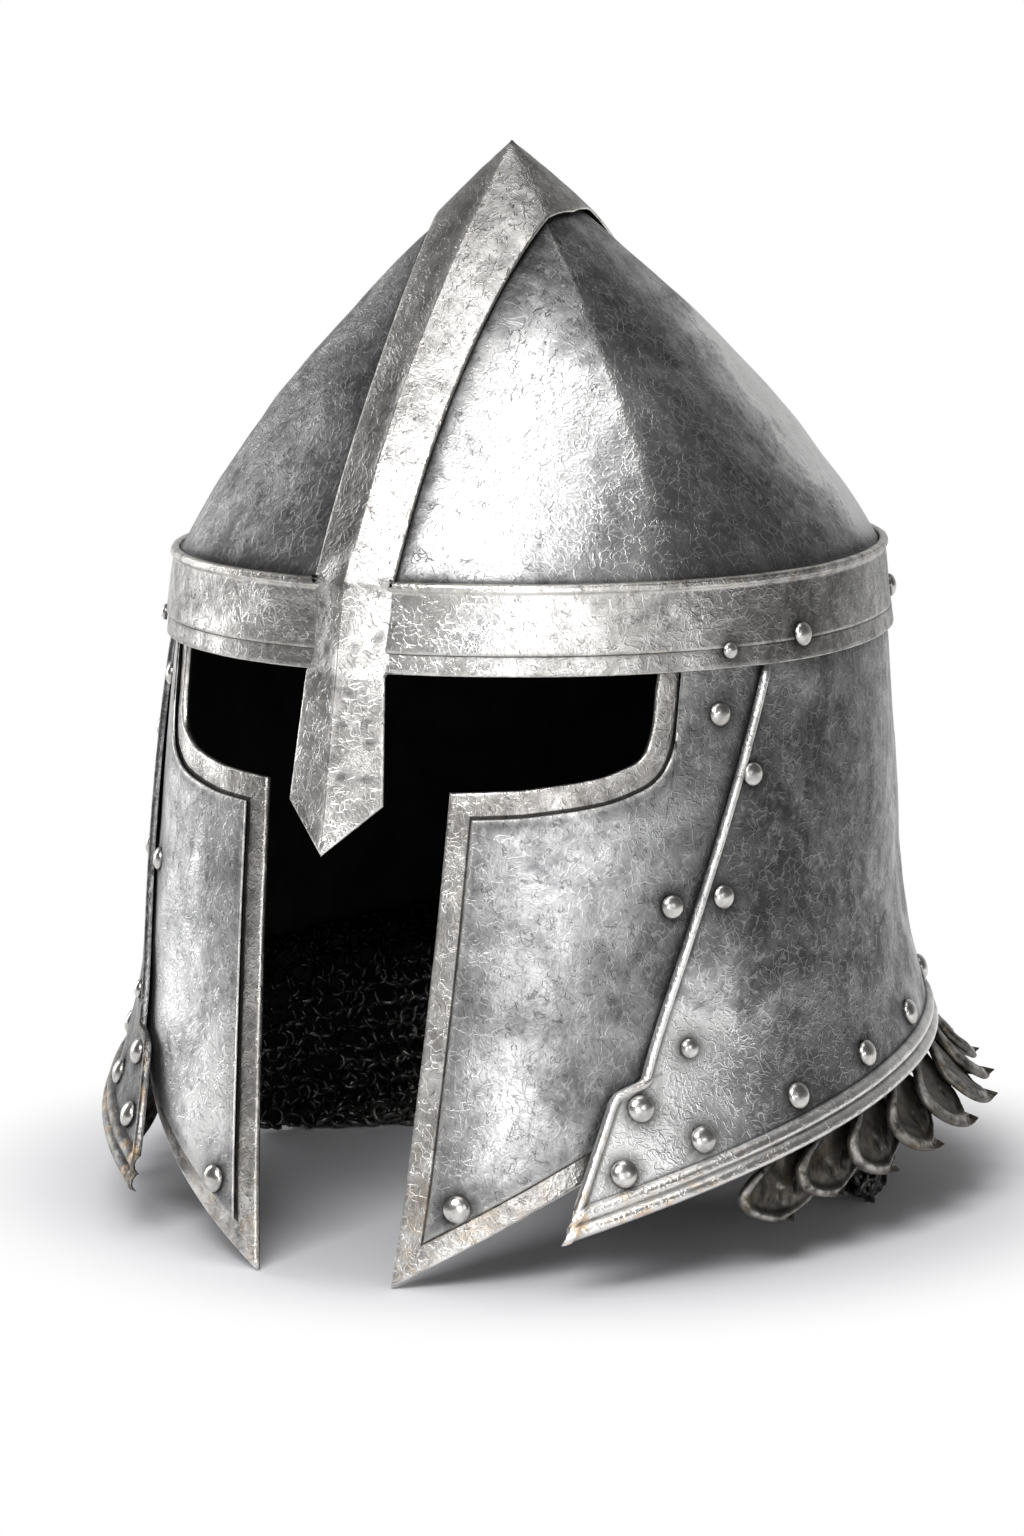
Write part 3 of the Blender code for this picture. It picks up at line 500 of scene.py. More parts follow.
# Rivets as in the solids: name, surface, angle, height above the floor, head radius
SMALL_HEAD = 0.0025
MEDIUM_HEAD = 0.0037
LARGE_HEAD = 0.0042
WING_HEIGHT = WING_TOP_Z - WING_TIP_Z
SIDE_RIVETS = (
    ("band_side", band_at, 76.6, FACE_HEIGHT + 0.28 * BAND_HEIGHT, MEDIUM_HEAD),
    ("band_rear", band_at, 122.0, FACE_HEIGHT + 0.38 * BAND_HEIGHT, MEDIUM_HEAD),
    ("strip", band_at, 60.9, FACE_HEIGHT + 0.20 * BAND_HEIGHT, SMALL_HEAD),
    ("cheek_top", body_at, 59.9, 0.924 * FACE_HEIGHT, MEDIUM_HEAD),
    ("cheek_middle", body_at, 51.1, 0.616 * FACE_HEIGHT, MEDIUM_HEAD),
    ("cheek_corner", body_at, 20.3, 0.137 * FACE_HEIGHT, LARGE_HEAD),
    ("wing_top", back_at, 45.4, WING_TIP_Z + 0.942 * WING_HEIGHT, LARGE_HEAD),
    ("wing_tip", back_at, 42.6, WING_TIP_Z + 0.481 * WING_HEIGHT, LARGE_HEAD),
)
SEAM_RIVETS = ((0.822, 2.2, MEDIUM_HEAD), (0.626, 3.0, MEDIUM_HEAD), (0.385, 4.4, 1.2 * SMALL_HEAD))
RIM_RIVET_ANGLES = (54.0, 70.0, 86.0, 102.0, 122.0, 142.0, 162.0)
RIM_RIVET_RISE = 0.0142


def rivet_places():
    """Name, centre, outward direction and radius of each rivet head."""
    placed = [(name, on, math.radians(degrees), z, radius) for name, on, degrees, z, radius in SIDE_RIVETS]
    for i, (share, behind, radius) in enumerate(SEAM_RIVETS):
        z = share * FACE_HEIGHT
        angle = float(seam_angle(z)) + behind * SEAM_BEAD_WIDTH / UNROLL_RADIUS
        placed.append((f"seam_{i + 1}", back_at, angle, z, radius))
    for i, degrees in enumerate(RIM_RIVET_ANGLES):
        angle = math.radians(degrees)
        z = float(rim_z(angle)) + RIM_RIVET_RISE
        placed.append((f"rim_{i + 1}", back_at, angle, z, LARGE_HEAD))
    found = []
    for name, on, angle, z, radius in placed:
        for side, word in ((1, "left"), (-1, "right")):
            turn = np.array(side * angle)
            height = np.array(z)
            outward = surface_normals(on, turn, height)
            found.append((f"rivet_{name}_{word}", on(turn, height), outward, radius))
    return found


RIVETS = rivet_places()


def shade_round_rivets(points):
    """Painted shade round the rivet heads, where they meet the plate."""
    shade_and_grime = np.zeros(points.shape[:-1])
    for _, centre, _, radius in RIVETS:
        gap = np.linalg.norm(points - centre, axis=-1) - radius
        shade_and_grime = np.maximum(shade_and_grime, np.exp(-np.maximum(gap, 0.0) / RIVET_HALO))
    return shade_and_grime


# Painted light and shade, bright and dark patches painted into the steel's colour where highlights and
# shade fall: degrees round the head, height, reach, amount
SKULL_PAINTED_SHADING = (
    (24.0, 0.222, 0.036, 1.00),
    (36.0, 0.252, 0.028, 0.75),
    (30.0, 0.290, 0.020, -0.10),
    (82.0, 0.235, 0.046, -0.05),
    (80.0, 0.272, 0.035, -0.35),
    (117.0, 0.222, 0.026, 1.60),
    (113.0, 0.262, 0.022, 1.30),
    (-34.0, 0.228, 0.045, -0.30),
    (-20.0, 0.262, 0.035, -0.25),
)
BAND_PAINTED_SHADING = (
    (-21.0, 0.194, 0.014, 0.75),
    (25.0, 0.196, 0.026, 0.80),
    (45.0, 0.196, 0.020, 0.30),
    (78.0, 0.194, 0.034, -0.38),
    (115.0, 0.194, 0.060, -0.45),
    (-50.0, 0.194, 0.026, -0.45),
)
CHEEK_PAINTED_SHADING = {
    "left": (
        (33.0, 0.114, 0.022, 0.80),
        (44.0, 0.128, 0.018, 0.30),
        (24.0, 0.091, 0.014, -0.20),
        (55.0, 0.141, 0.024, -0.40),
        (28.0, 0.050, 0.026, 0.20),
        (38.0, 0.084, 0.026, -0.42),
    ),
    "right": ((-27.0, 0.087, 0.022, 0.30), (-34.0, 0.122, 0.020, -0.35), (-20.0, 0.042, 0.030, 0.95)),
}
BACK_PAINTED_SHADING = (
    (76.0, 0.149, 0.040, -0.40),
    (53.0, 0.080, 0.024, 0.80),
    (46.0, 0.040, 0.030, 1.70),
    (88.0, 0.103, 0.040, -0.15),
    (66.0, 0.109, 0.020, -0.30),
    (90.0, 0.150, 0.030, -0.35),
    (118.0, 0.140, 0.036, 0.30),
)


def painted_shading_of(points, patches):
    """Sum of soft patches of painted light and shade over points."""
    reach = np.where(points[..., 1] < CENTRE_Y, FRONT_REACH, BACK_REACH)
    turn = np.arctan2(points[..., 0] / HALF_WIDTH, (CENTRE_Y - points[..., 1]) / reach)
    radius = np.hypot(points[..., 0], points[..., 1] - CENTRE_Y)
    painted_shading = np.zeros(points.shape[:-1])
    for degrees, z, size, amount in patches:
        along = (turn - math.radians(degrees)) * radius
        painted_shading += amount * np.exp(-(along**2 + (points[..., 2] - z) ** 2) / size**2)
    return painted_shading


# Materials


class Nodes:
    """Short calls that build one material's node tree."""

    def __init__(self, name):
        self.material = bpy.data.materials.new(name)
        self.material.use_nodes = True
        self.tree = self.material.node_tree
        self.shader = self.tree.nodes["Principled BSDF"]
        coordinates = self.tree.nodes.new("ShaderNodeTexCoord")
        self.place = coordinates.outputs["Object"]

    def new(self, kind, inputs, **settings):
        node = self.tree.nodes.new(kind)
        for key, value in settings.items():
            setattr(node, key, value)
        for socket, value in inputs.items():
            self.join(value, node.inputs[socket])
        return node

    def done(self, inputs):
        """Gives the shader its inputs and hands the material over."""
        for socket, value in inputs.items():
            self.join(value, self.shader.inputs[socket])
        return self.material

    def join(self, source, target):
        if isinstance(source, (int, float, tuple)):
            target.default_value = source
        else:
            self.tree.links.new(source, target)

    def layer(self, name):
        return self.new("ShaderNodeAttribute", {}, attribute_name=name).outputs["Fac"]

    def noise(self, scale, detail=4.0, roughness=0.55, distortion=0.0, place=None):
        inputs = {
            "Vector": place or self.place,
            "Scale": scale,
            "Detail": detail,
            "Roughness": roughness,
            "Distortion": distortion,
        }
        return self.new("ShaderNodeTexNoise", inputs).outputs["Fac"]

    def moved(self, offset):
        return self.new("ShaderNodeMapping", {"Vector": self.place, "Location": offset}).outputs["Vector"]

    def range(self, value, low, high, to_low=0.0, to_high=1.0):
        inputs = {"Value": value, "From Min": low, "From Max": high, "To Min": to_low, "To Max": to_high}
        return self.new("ShaderNodeMapRange", inputs).outputs["Result"]

    def maths(self, operation, first, second=0.0):
        return self.new("ShaderNodeMath", {0: first, 1: second}, operation=operation).outputs["Value"]

    def times(self, first, second):
        return self.maths("MULTIPLY", first, second)

    def plus(self, first, second):
        return self.maths("ADD", first, second)

    def mix(self, share, first, second):
        return self.new("ShaderNodeMix", {0: share, 6: first, 7: second}, data_type="RGBA").outputs[2]

    def laid_over(self, colour, share, amount, rgb):
        """The colour with another over it, by amount where share is 1."""
        return self.mix(self.times(share, amount), colour, (*rgb, 1.0))

    def hairs(self, scale, width, cover, offset, bend=0.012):
        """Thin curved lines, broken into short runs: 1 on a line and 0 off it."""
        place = self.moved(offset)
        bent = self.new("ShaderNodeTexNoise", {"Vector": place, "Scale": scale * 0.45, "Detail": 2.0})
        inputs = {0: bent.outputs["Color"], "Scale": bend}
        shift = self.new("ShaderNodeVectorMath", inputs, operation="SCALE")
        added = self.new("ShaderNodeVectorMath", {0: place, 1: shift.outputs[0]}, operation="ADD")
        inputs = {"Vector": added.outputs[0], "Scale": scale}
        cells = self.new("ShaderNodeTexVoronoi", inputs, feature="DISTANCE_TO_EDGE")
        line = self.range(cells.outputs["Distance"], 0.0, width, 1.0, 0.0)
        runs = self.range(self.noise(scale * 0.9, 1.0, place=place), 1 - cover, 1 - cover + 0.08)
        return self.times(line, runs)


def bumped(nodes, height, strength, distance, before=None):
    inputs = {"Height": height, "Strength": strength, "Distance": distance}
    if before is not None:
        inputs["Normal"] = before
    return nodes.new("ShaderNodeBump", inputs).outputs["Normal"]


# Near-black for painted shade in joints and hollows, and for a few dark pits and joint lines
SHADE_AND_GRIME_COLOUR = (0.020, 0.0195, 0.0195)
BRIGHTEST_STEEL = (0.86, 0.855, 0.85)


def steel(name, dark, light, bright, seed, patch_scale=26.0, rust=0.0, rough=(0.46, 0.30), stained=0.6):
    """Worn steel: clouded grey with painted light and shade patches, fine curved hairs, painted shade in
    joints and hollows, and polished edges.
    """
    n = Nodes(name)
    offset = (seed * 0.37, seed * 0.91, seed * 0.53)
    clouds = n.noise(patch_scale, 5.0, 0.62, 0.6, n.moved(offset))
    mottle = n.noise(patch_scale * 4.3, 5.0, 0.70, 0.4, n.moved(offset))
    grain = n.noise(patch_scale * 34, 3.0, 0.7, 0.0, n.moved(offset))
    mixed = n.plus(n.times(clouds, 0.50), n.times(mottle, 0.40))
    mixed = n.plus(mixed, n.times(grain, 0.10))
    # Painted light and shade: the patch layer shifts the grey between its dark and light colours.
    painted_shading = n.layer("painted_shading")
    shade = n.range(n.plus(mixed, n.times(painted_shading, 0.07)), 0.40, 0.62)
    colour = n.mix(shade, (*dark, 1.0), (*light, 1.0))
    # Partly random polish and partly painted highlight from the patch layer.
    polish_and_highlight = n.range(n.plus(clouds, n.times(painted_shading, 0.10)), 0.54, 0.72)
    colour = n.laid_over(colour, polish_and_highlight, 0.7, bright)

    stains = n.range(n.noise(patch_scale * 2.6, 6.0, 0.74, 1.3, n.moved((seed, 0.2, 0.4))), 0.56, 0.70)
    colour = n.laid_over(colour, stains, stained, (0.050, 0.049, 0.050))

    light_hairs = n.hairs(270.0, 0.085, 0.58, (0.11 + seed, 0.0, 0.3))
    long_hairs = n.hairs(150.0, 0.035, 0.40, (0.71 + seed, 0.4, 0.1), 0.030)
    dark_hairs = n.hairs(330.0, 0.090, 0.45, (0.47 + seed, 0.2, 0.0))
    light_hairs = n.maths("MAXIMUM", light_hairs, long_hairs)
    colour = n.laid_over(colour, light_hairs, 0.36, (0.70, 0.69, 0.68))
    colour = n.laid_over(colour, dark_hairs, 0.45, (0.055, 0.055, 0.056))
    # Painted light and shade: the patch layer scales the whole colour up or down.
    gain = n.maths("POWER", 2.0, n.times(painted_shading, 1.2))
    gained = n.new("ShaderNodeVectorMath", {0: colour, "Scale": gain}, operation="SCALE")
    inputs = {0: gained.outputs[0], 1: BRIGHTEST_STEEL}
    colour = n.new("ShaderNodeVectorMath", inputs, operation="MINIMUM").outputs[0]

    # Painted shade in joints, seams, hollows and round rivets, with a few dark pits and joint lines, laid
    # over in near-black.
    shade_and_grime = n.layer("shade_and_grime")
    colour = n.laid_over(colour, shade_and_grime, 0.88, SHADE_AND_GRIME_COLOUR)
    edge = n.layer("edge")
    worn = n.times(edge, n.range(n.noise(190.0, 3.0, 0.6), 0.32, 0.58))
    colour = n.laid_over(colour, worn, 0.80, (0.80, 0.785, 0.755))
    if rust > 0:
        spots = n.range(n.noise(150.0, 4.0, 0.7, 0.8, n.moved((seed, 0.7, 0.1))), 0.50, 0.64)
        colour = n.laid_over(colour, n.times(n.layer("rust"), spots), rust, (0.66, 0.44, 0.22))

    roughness = n.range(shade, 0.0, 1.0, rough[0], rough[1])
    roughness = n.plus(roughness, n.times(shade_and_grime, 0.25))
    roughness = n.plus(roughness, n.times(stains, 0.12))

    height = n.maths("SUBTRACT", n.times(light_hairs, 0.7), n.times(dark_hairs, 0.9))
    height = n.plus(height, n.times(grain, 0.35))
    normal = bumped(n, mottle, 0.40, 0.0012)
    normal = bumped(n, height, 0.60, 0.00014, normal)
    return n.done({"Base Color": colour, "Metallic": 1.0, "Roughness": roughness, "Normal": normal})


def rivet_heads_steel():
    n = Nodes("rivet_steel")
    clouds = n.noise(230.0, 3.0, 0.6)
    colour = n.mix(n.range(clouds, 0.35, 0.65), (0.42, 0.405, 0.39, 1.0), (0.74, 0.725, 0.70, 1.0))
    # Painted shade at the foot of each dome.
    colour = n.laid_over(colour, n.layer("shade_and_grime"), 0.92, SHADE_AND_GRIME_COLOUR)
    roughness = n.range(clouds, 0.3, 0.7, 0.34, 0.24)
    normal = bumped(n, clouds, 0.25, 0.0006)
    return n.done({"Base Color": colour, "Metallic": 1.0, "Roughness": roughness, "Normal": normal})


# Inner faces painted near-black, standing for the shade inside the helmet.
def painted_shade_inside():
    n = Nodes("painted_shade_inside")
    painted_shading = n.noise(60.0, 4.0, 0.6)
    colour = n.mix(n.range(painted_shading, 0.35, 0.65), (0.004, 0.004, 0.004, 1.0), (0.010, 0.0095, 0.009, 1.0))
    return n.done({"Base Color": colour, "Roughness": 0.9, "Specular IOR Level": 0.1})


def dark_iron():
    n = Nodes("dark_iron")
    clouds = n.noise(95.0, 5.0, 0.65, 0.8)
    fine = n.noise(620.0, 4.0, 0.7)
    shade = n.range(n.plus(n.times(clouds, 0.75), n.times(fine, 0.25)), 0.36, 0.66)
    colour = n.mix(shade, (0.022, 0.020, 0.018, 1.0), (0.165, 0.150, 0.128, 1.0))
    brown = n.range(n.noise(130.0, 4.0, 0.6, 0.5, n.moved((0.4, 0.1, 0.2))), 0.52, 0.68)
    colour = n.laid_over(colour, brown, 0.60, (0.130, 0.092, 0.045))
    edge = n.layer("edge")
    worn = n.times(edge, n.range(n.noise(240.0, 3.0, 0.6), 0.36, 0.62))
    colour = n.laid_over(colour, worn, 0.80, (0.66, 0.64, 0.61))
    # Painted shade in the slits, at the roots and inside the lips.
    colour = n.laid_over(colour, n.layer("shade_and_grime"), 0.85, (0.008, 0.008, 0.008))
    roughness = n.range(shade, 0.0, 1.0, 0.55, 0.36)
    normal = bumped(n, clouds, 0.5, 0.0012)
    normal = bumped(n, fine, 0.5, 0.00025, normal)
    return n.done({"Base Color": colour, "Metallic": 0.85, "Roughness": roughness, "Normal": normal})


def rings_with_painted_shade():
    n = Nodes("rings_with_painted_shade")
    clouds = n.noise(160.0, 3.0, 0.6)
    colour = n.mix(n.range(clouds, 0.42, 0.66), (0.22, 0.21, 0.20, 1.0), (0.86, 0.83, 0.79, 1.0))
    # Painted shade: the rings darken to near-black from 30 mm to 56 mm up and dim towards the sides past 60
    # mm, standing for the shade inside the helmet.
    axes = n.new("ShaderNodeSeparateXYZ", {0: n.place})
    low_down = n.range(axes.outputs["Z"], 0.030, 0.056, 1.0, 0.0)
    inside = n.range(n.maths("ABSOLUTE", axes.outputs["X"]), 0.060, 0.100, 1.0, 0.12)
    colour = n.mix(n.times(low_down, inside), (0.006, 0.006, 0.006, 1.0), colour)
    roughness = n.range(clouds, 0.3, 0.7, 0.46, 0.30)
    normal = bumped(n, n.noise(900.0, 2.0), 0.4, 0.0002)
    return n.done({"Base Color": colour, "Metallic": 0.9, "Roughness": roughness, "Normal": normal})


inside_shade = painted_shade_inside()
skull_steel = steel(
    "skull_steel",
    dark=(0.105, 0.105, 0.107),
    light=(0.40, 0.398, 0.398),
    bright=(0.68, 0.67, 0.665),
    seed=1.0,
)
band_steel = steel(
    "band_steel",
    dark=(0.20, 0.194, 0.188),
    light=(0.54, 0.53, 0.515),
    bright=(0.80, 0.79, 0.77),
    seed=2.3,
    patch_scale=34.0,
    rust=0.5,
    rough=(0.42, 0.26),
)
cheek_steel = steel(
    "cheek_steel",
    dark=(0.16, 0.16, 0.164),
    light=(0.46, 0.46, 0.463),
    bright=(0.70, 0.70, 0.70),
    seed=3.1,
)
frame_steel = steel(
    "frame_steel",
    dark=(0.17, 0.162, 0.155),
    light=(0.42, 0.405, 0.39),
    bright=(0.66, 0.65, 0.625),
    seed=4.7,
    patch_scale=40.0,
    rust=0.7,
    rough=(0.42, 0.28),
)
back_steel = steel(
    "back_steel",
    dark=(0.095, 0.095, 0.099),
    light=(0.36, 0.36, 0.363),
    bright=(0.62, 0.62, 0.62),
    seed=5.9,
    patch_scale=24.0,
    rust=0.9,
)
rivet_steel = rivet_heads_steel()
scale_iron = dark_iron()
ring_painted_shade = rings_with_painted_shade()


# Skull


def half_round(columns):
    """Angles round the whole head with a column on each crease."""
    half = [0.0]
    for low, high, count in zip(CREASE_ANGLES, CREASE_ANGLES[1:], columns):
        half += [math.radians(low + (high - low) * (i + 1) / count) for i in range(count)]
    return np.array(half + [-angle for angle in reversed(half[1:-1])])


def build_skull():
    angle = half_round((40, 50, 48))
    skirt_z = BAND_TOP_Z - np.linspace(SKIRT, 0.0006, 6)
    skirt = band_at(angle[None, :], skirt_z[:, None], -BAND_SHEET - LAYER_GAP)
    t = np.concatenate([np.linspace(0.0, 0.96, 84), [0.98, 1.0]])
    dome = skull_at(angle[None, :], t[:, None])
    points = np.concatenate([skirt, dome])
    normals = normals_of(points, wrap=True)
    normals[-2:] = (0.0, 0.0, 1.0)
    dents = waves(points, 0.028, 0.0007, 1) + waves(points, 0.011, 0.00022, 2)
    fade = clipped((points[..., 2] - BAND_TOP_Z) / 0.02) * clipped((0.32 - points[..., 2]) / 0.02)
    points = points + normals * (dents * fade)[..., None]
    # Painted shade where the skull goes under the band and beside the crest band's edges.
    shade_and_grime = 0.9 * close_to(points[..., 2], BAND_TOP_Z, 0.004)
    crest = np.abs(points[..., 0]) - crest_half_width(points)
    shade_and_grime = np.maximum(shade_and_grime, 0.95 * np.exp(-np.maximum(crest, 0.0) / 0.0035))
    turn = np.abs(np.degrees(angle))[None, :] + 0 * points[..., 2]
    crease = np.min([np.abs(turn - c) for c in CREASE_ANGLES[1:-1]], axis=0)
    edge = 0.35 * np.exp(-crease / 0.7) * fade
    layers = {"shade_and_grime": shade_and_grime, "edge": edge, "rust": 0 * shade_and_grime, "painted_shading": painted_shading_of(points, SKULL_PAINTED_SHADING)}
    drop = np.zeros(points.shape[:-1])
    looks = (skull_steel, inside_shade)
    return shell("skull_bowl", points, normals, SKULL_SHEET, drop, layers, *looks, wrap=True)


def crest_half_width(points):
    t = clipped((points[..., 2] - BAND_TOP_Z) / SKULL_HEIGHT)
    return CREST_HALF_WIDTH + (CREST_HALF_WIDTH_TOP - CREST_HALF_WIDTH) * t**3


# Brow band


def band_section():
    """Offsets and heights round the band's section, outside first, from the lower edge up."""
    edge = 0.0005
    strip_z = FACE_HEIGHT + STRIP_HEIGHT
    bead_z = BAND_TOP_Z - BAND_BEAD_HEIGHT
    section = [(-STRIP_DEPTH - edge, FACE_HEIGHT, 1.0)]
    section += [(-STRIP_DEPTH - 0.3 * edge, FACE_HEIGHT + 0.3 * edge, 1.0)]
    section += [(-STRIP_DEPTH, z, 0.0) for z in np.linspace(FACE_HEIGHT + edge, strip_z - 0.0004, 5)]
    section += [(-STRIP_DEPTH, strip_z, 0.0), (-0.0003, strip_z + 0.00002, 0.0)]
    section += [(0.0, strip_z + 0.0004, 0.6)]
    section += [(0.0, z, 0.0) for z in np.linspace(strip_z + 0.0012, bead_z - 0.0006, 12)]
    for turn in np.linspace(0, math.pi, 9):
        rise = BAND_BEAD * (0.5 - 0.5 * math.cos(2 * turn)) if turn < math.pi / 2 else BAND_BEAD
        section.append((rise, bead_z + BAND_BEAD_HEIGHT * 0.75 * turn / math.pi, 0.5))
    section += [(BAND_BEAD * 0.75, BAND_TOP_Z - 0.0003, 1.0), (0.0, BAND_TOP_Z, 1.0)]
    section += [(-0.6 * BAND_SHEET, BAND_TOP_Z, 0.4), (-BAND_SHEET, BAND_TOP_Z - 0.0003, 0.0)]
    section += [(-BAND_SHEET, z, 0.0) for z in np.linspace(BAND_TOP_Z - 0.004, FACE_HEIGHT + 0.0004, 5)]
    return np.array(section)


def build_band():
    section = band_section()
    angle = np.radians(np.arange(-180, 180, 1.25))
    fade = clipped((STRIP_END_ANGLE - np.abs(np.degrees(angle))) / 2.5)
    offset = section[:, None, 0] + 0 * angle
    low = section[:, None, 1] < FACE_HEIGHT + STRIP_HEIGHT + 0.00001
    outside = np.arange(len(section))[:, None] < 10
    offset = np.where(low & outside, offset + STRIP_DEPTH * (1 - fade), offset)
    z = section[:, None, 1] + 0 * angle
    points = band_at(angle[None, :] + 0 * z, z, offset)
    normals = normals_of(points, wrap=True)
    flat = band_at(angle[None, :] + 0 * z, z, 0.0)
    away = flat - np.array([0, CENTRE_Y, 0])
    away[..., 2] = 0
    away /= np.linalg.norm(away, axis=-1, keepdims=True)
    dents = waves(flat, 0.020, 0.0004, 3) + waves(flat, 0.008, 0.00012, 4)
    points = points + away * np.minimum(dents, 0.0002)[..., None]
    # Painted shadow line along the step at the top of the recessed strip, and painted shade round the
    # rivets.
    shade_and_grime = close_to(z, FACE_HEIGHT + STRIP_HEIGHT, 0.0004) * fade
    shade_and_grime = np.maximum(shade_and_grime, shade_round_rivets(points))
    edge = section[:, None, 2] + 0 * angle
    rows, cols = points.shape[:2]
    faces = quads_of(rows, cols, True).tolist()
    first = np.arange(cols)
    last = first + (rows - 1) * cols
    faces += [(last[i], last[(i + 1) % cols], first[(i + 1) % cols], first[i]) for i in range(cols)]
    layers = {"shade_and_grime": shade_and_grime, "edge": edge, "rust": 0.5 * edge, "painted_shading": painted_shading_of(points, BAND_PAINTED_SHADING)}
    return make_mesh("brow_band", points.reshape(-1, 3), faces, layers, band_steel)


# Crest band and nasal


def strip_rows(shares):
    """Points of the strip from the nasal's point over the skull to the back of the band."""
    tip_z = FACE_HEIGHT - NASAL_LENGTH
    corner_z = tip_z + NASAL_POINT_HEIGHT
    front_y = CENTRE_Y - FRONT_REACH - NASAL_STAND_OFF
    rows = []
    point_zs = np.linspace(tip_z + 0.0001, corner_z, 16)
    for z in np.concatenate([point_zs, np.linspace(corner_z, FACE_HEIGHT, 30)[1:]]):
        climb = (z - tip_z) / NASAL_POINT_HEIGHT
        narrow = (z - corner_z) / (FACE_HEIGHT - corner_z)
        half = NASAL_HALF_WIDTH + (CREST_HALF_WIDTH - NASAL_HALF_WIDTH) * narrow
        if climb < 1:
            half = NASAL_HALF_WIDTH * climb
        x = shares * half
        y = front_y + NASAL_SLOPE * (z - FACE_HEIGHT) - NASAL_RIDGE * (1 - np.abs(x) / NASAL_HALF_WIDTH)
        rows.append(np.stack([x, y, z + 0 * x], axis=-1))

    def over_band(z, side):
        x = shares * CREST_HALF_WIDTH
        bow = np.sqrt(1 - (x / HALF_WIDTH) ** 2)
        reach = (FRONT_REACH if side < 0 else BACK_REACH) + lean_at(z)
        height = (z - FACE_HEIGHT) / BAND_HEIGHT
        let_in = 0.0016 * min(1.0, height / 0.12) * min(1.0, (1.02 - height) / 0.10)
        sunk = NASAL_STAND_OFF + BAND_BEAD * height - let_in * np.abs(shares)
        ridge = NASAL_RIDGE * (1 - 0.4 * height) * (1 - np.abs(shares))
        y = CENTRE_Y + side * (reach * bow + sunk + ridge)
        return np.stack([x, y, z + 0 * x], axis=-1)

    def over_skull(t, side):
        front, back = skull_sizes(CREST_RIDGE_RISE)[1:]
        scale = (1 - t) * (1 + SKULL_BULGE * t)
        y = POINT_Y + PLAN_CENTRE_Y * (1 - t) + side * (front if side < 0 else back) * scale
        half = CREST_HALF_WIDTH + (CREST_HALF_WIDTH_TOP - CREST_HALF_WIDTH) * t**3
        foot = max(0.0, 1 - t * SKULL_HEIGHT / CREST_FOOT_HEIGHT)
        edge = CREST_EDGE_RISE + (CREST_FOOT_RISE - CREST_EDGE_RISE) * foot
        x = shares * half
        ridge = CREST_RIDGE_RISE + 0.0022 * foot
        grow = ridge + (edge - ridge) * np.abs(shares)
        y = y + 0 * x
        return np.stack([x, y, skull_z(x, y, grow)], axis=-1)

    band_shares = np.array([0.04, 0.08, 0.14, 0.25, 0.4, 0.55, 0.7, 0.82, 0.9, 0.95, 0.99])
    band_zs = FACE_HEIGHT + BAND_HEIGHT * band_shares
    rows += [over_band(z, -1) for z in band_zs]
    heights = np.concatenate([[0.025, 0.04, 0.055, 0.075], np.linspace(0.10, 0.94, 60), [0.965, 0.985]])
    rows += [over_skull(t, -1) for t in heights]
    rows.append(over_skull(1.0, -1))
    rows += [over_skull(t, 1) for t in heights[::-1]]
    rows += [over_band(z, 1) for z in band_zs[::-1]]
    return np.array(rows)


def build_crest():
    near = np.array([0.0, 0.008, 0.022, 0.05, 0.09])
    half = np.concatenate([np.linspace(0.0, 0.06, 4), np.linspace(0.12, 0.88, 10), 1 - near[::-1]])
    shares = np.concatenate([-half[:0:-1], half])
    points = strip_rows(shares)
    normals = normals_of(points)
    width = np.abs(points[:, -1, 0])[:, None]
    from_side = (1 - np.abs(shares))[None, :] * width
    from_tip = (points[..., 2] - (FACE_HEIGHT - NASAL_LENGTH)) / 1.35
    in_front = points[..., 1] < POINT_Y
    low = points[..., 2] < FACE_HEIGHT
    from_edge = np.where(low & in_front, np.minimum(from_side, np.maximum(from_tip, 0.0)), from_side)
    radius = CREST_SHEET * 0.45
    drop = rounded_drop(from_edge, radius)
    dents = waves(points, 0.016, 0.0005, 5) + waves(points, 0.006, 0.00018, 6)
    fade = clipped(from_edge / 0.004) * clipped((0.328 - points[..., 2]) / 0.006)
    fade = fade * clipped(np.abs(shares)[None, :] / 0.15)
    points = points + normals * (np.minimum(dents, 0.0002) * fade)[..., None]
    past_band = np.maximum(FACE_HEIGHT - points[..., 2], points[..., 2] - BAND_TOP_Z - 0.001)
    free = clipped(past_band / 0.003)
    edge = np.exp(-from_edge / 0.0008) * free
    ridge = np.exp(-np.abs(shares)[None, :] * width / 0.0009)
    edge = np.maximum(edge, 0.8 * ridge)
    pits = np.clip(waves(points, 0.005, 4.0, 31) - 1.5, 0.0, 0.7) * (points[..., 2] < BAND_TOP_Z)
    # Painted light and shade: at the front the left half is lightened, most in a patch about 230 mm up and
    # on the nasal; the right half is darkened above but lightened low on the nasal; the back half is
    # darkened.
    front = np.where(points[..., 1] < POINT_Y, 1.0, 0.0)
    lit = front * np.clip(shares / 0.25, -1.0, 1.0)[None, :]
    glow = bell(points[..., 2], 0.230, 0.042)
    nasal = clipped((FACE_HEIGHT + 0.01 - points[..., 2]) / 0.02)
    left_painted_shading = lit * (0.55 * glow + 0.25 * nasal)
    right_painted_shading = lit * (0.35 - 0.60 * nasal)
    painted_shading = np.where(lit > 0, left_painted_shading, right_painted_shading) - 0.35 * (1 - front)
    layers = {"shade_and_grime": pits, "edge": edge, "rust": 0.3 * edge, "painted_shading": painted_shading}
    return shell("crest_and_nasal", points, normals, CREST_SHEET, drop, layers, band_steel, inside_shade)


# Face frame and cheek plates


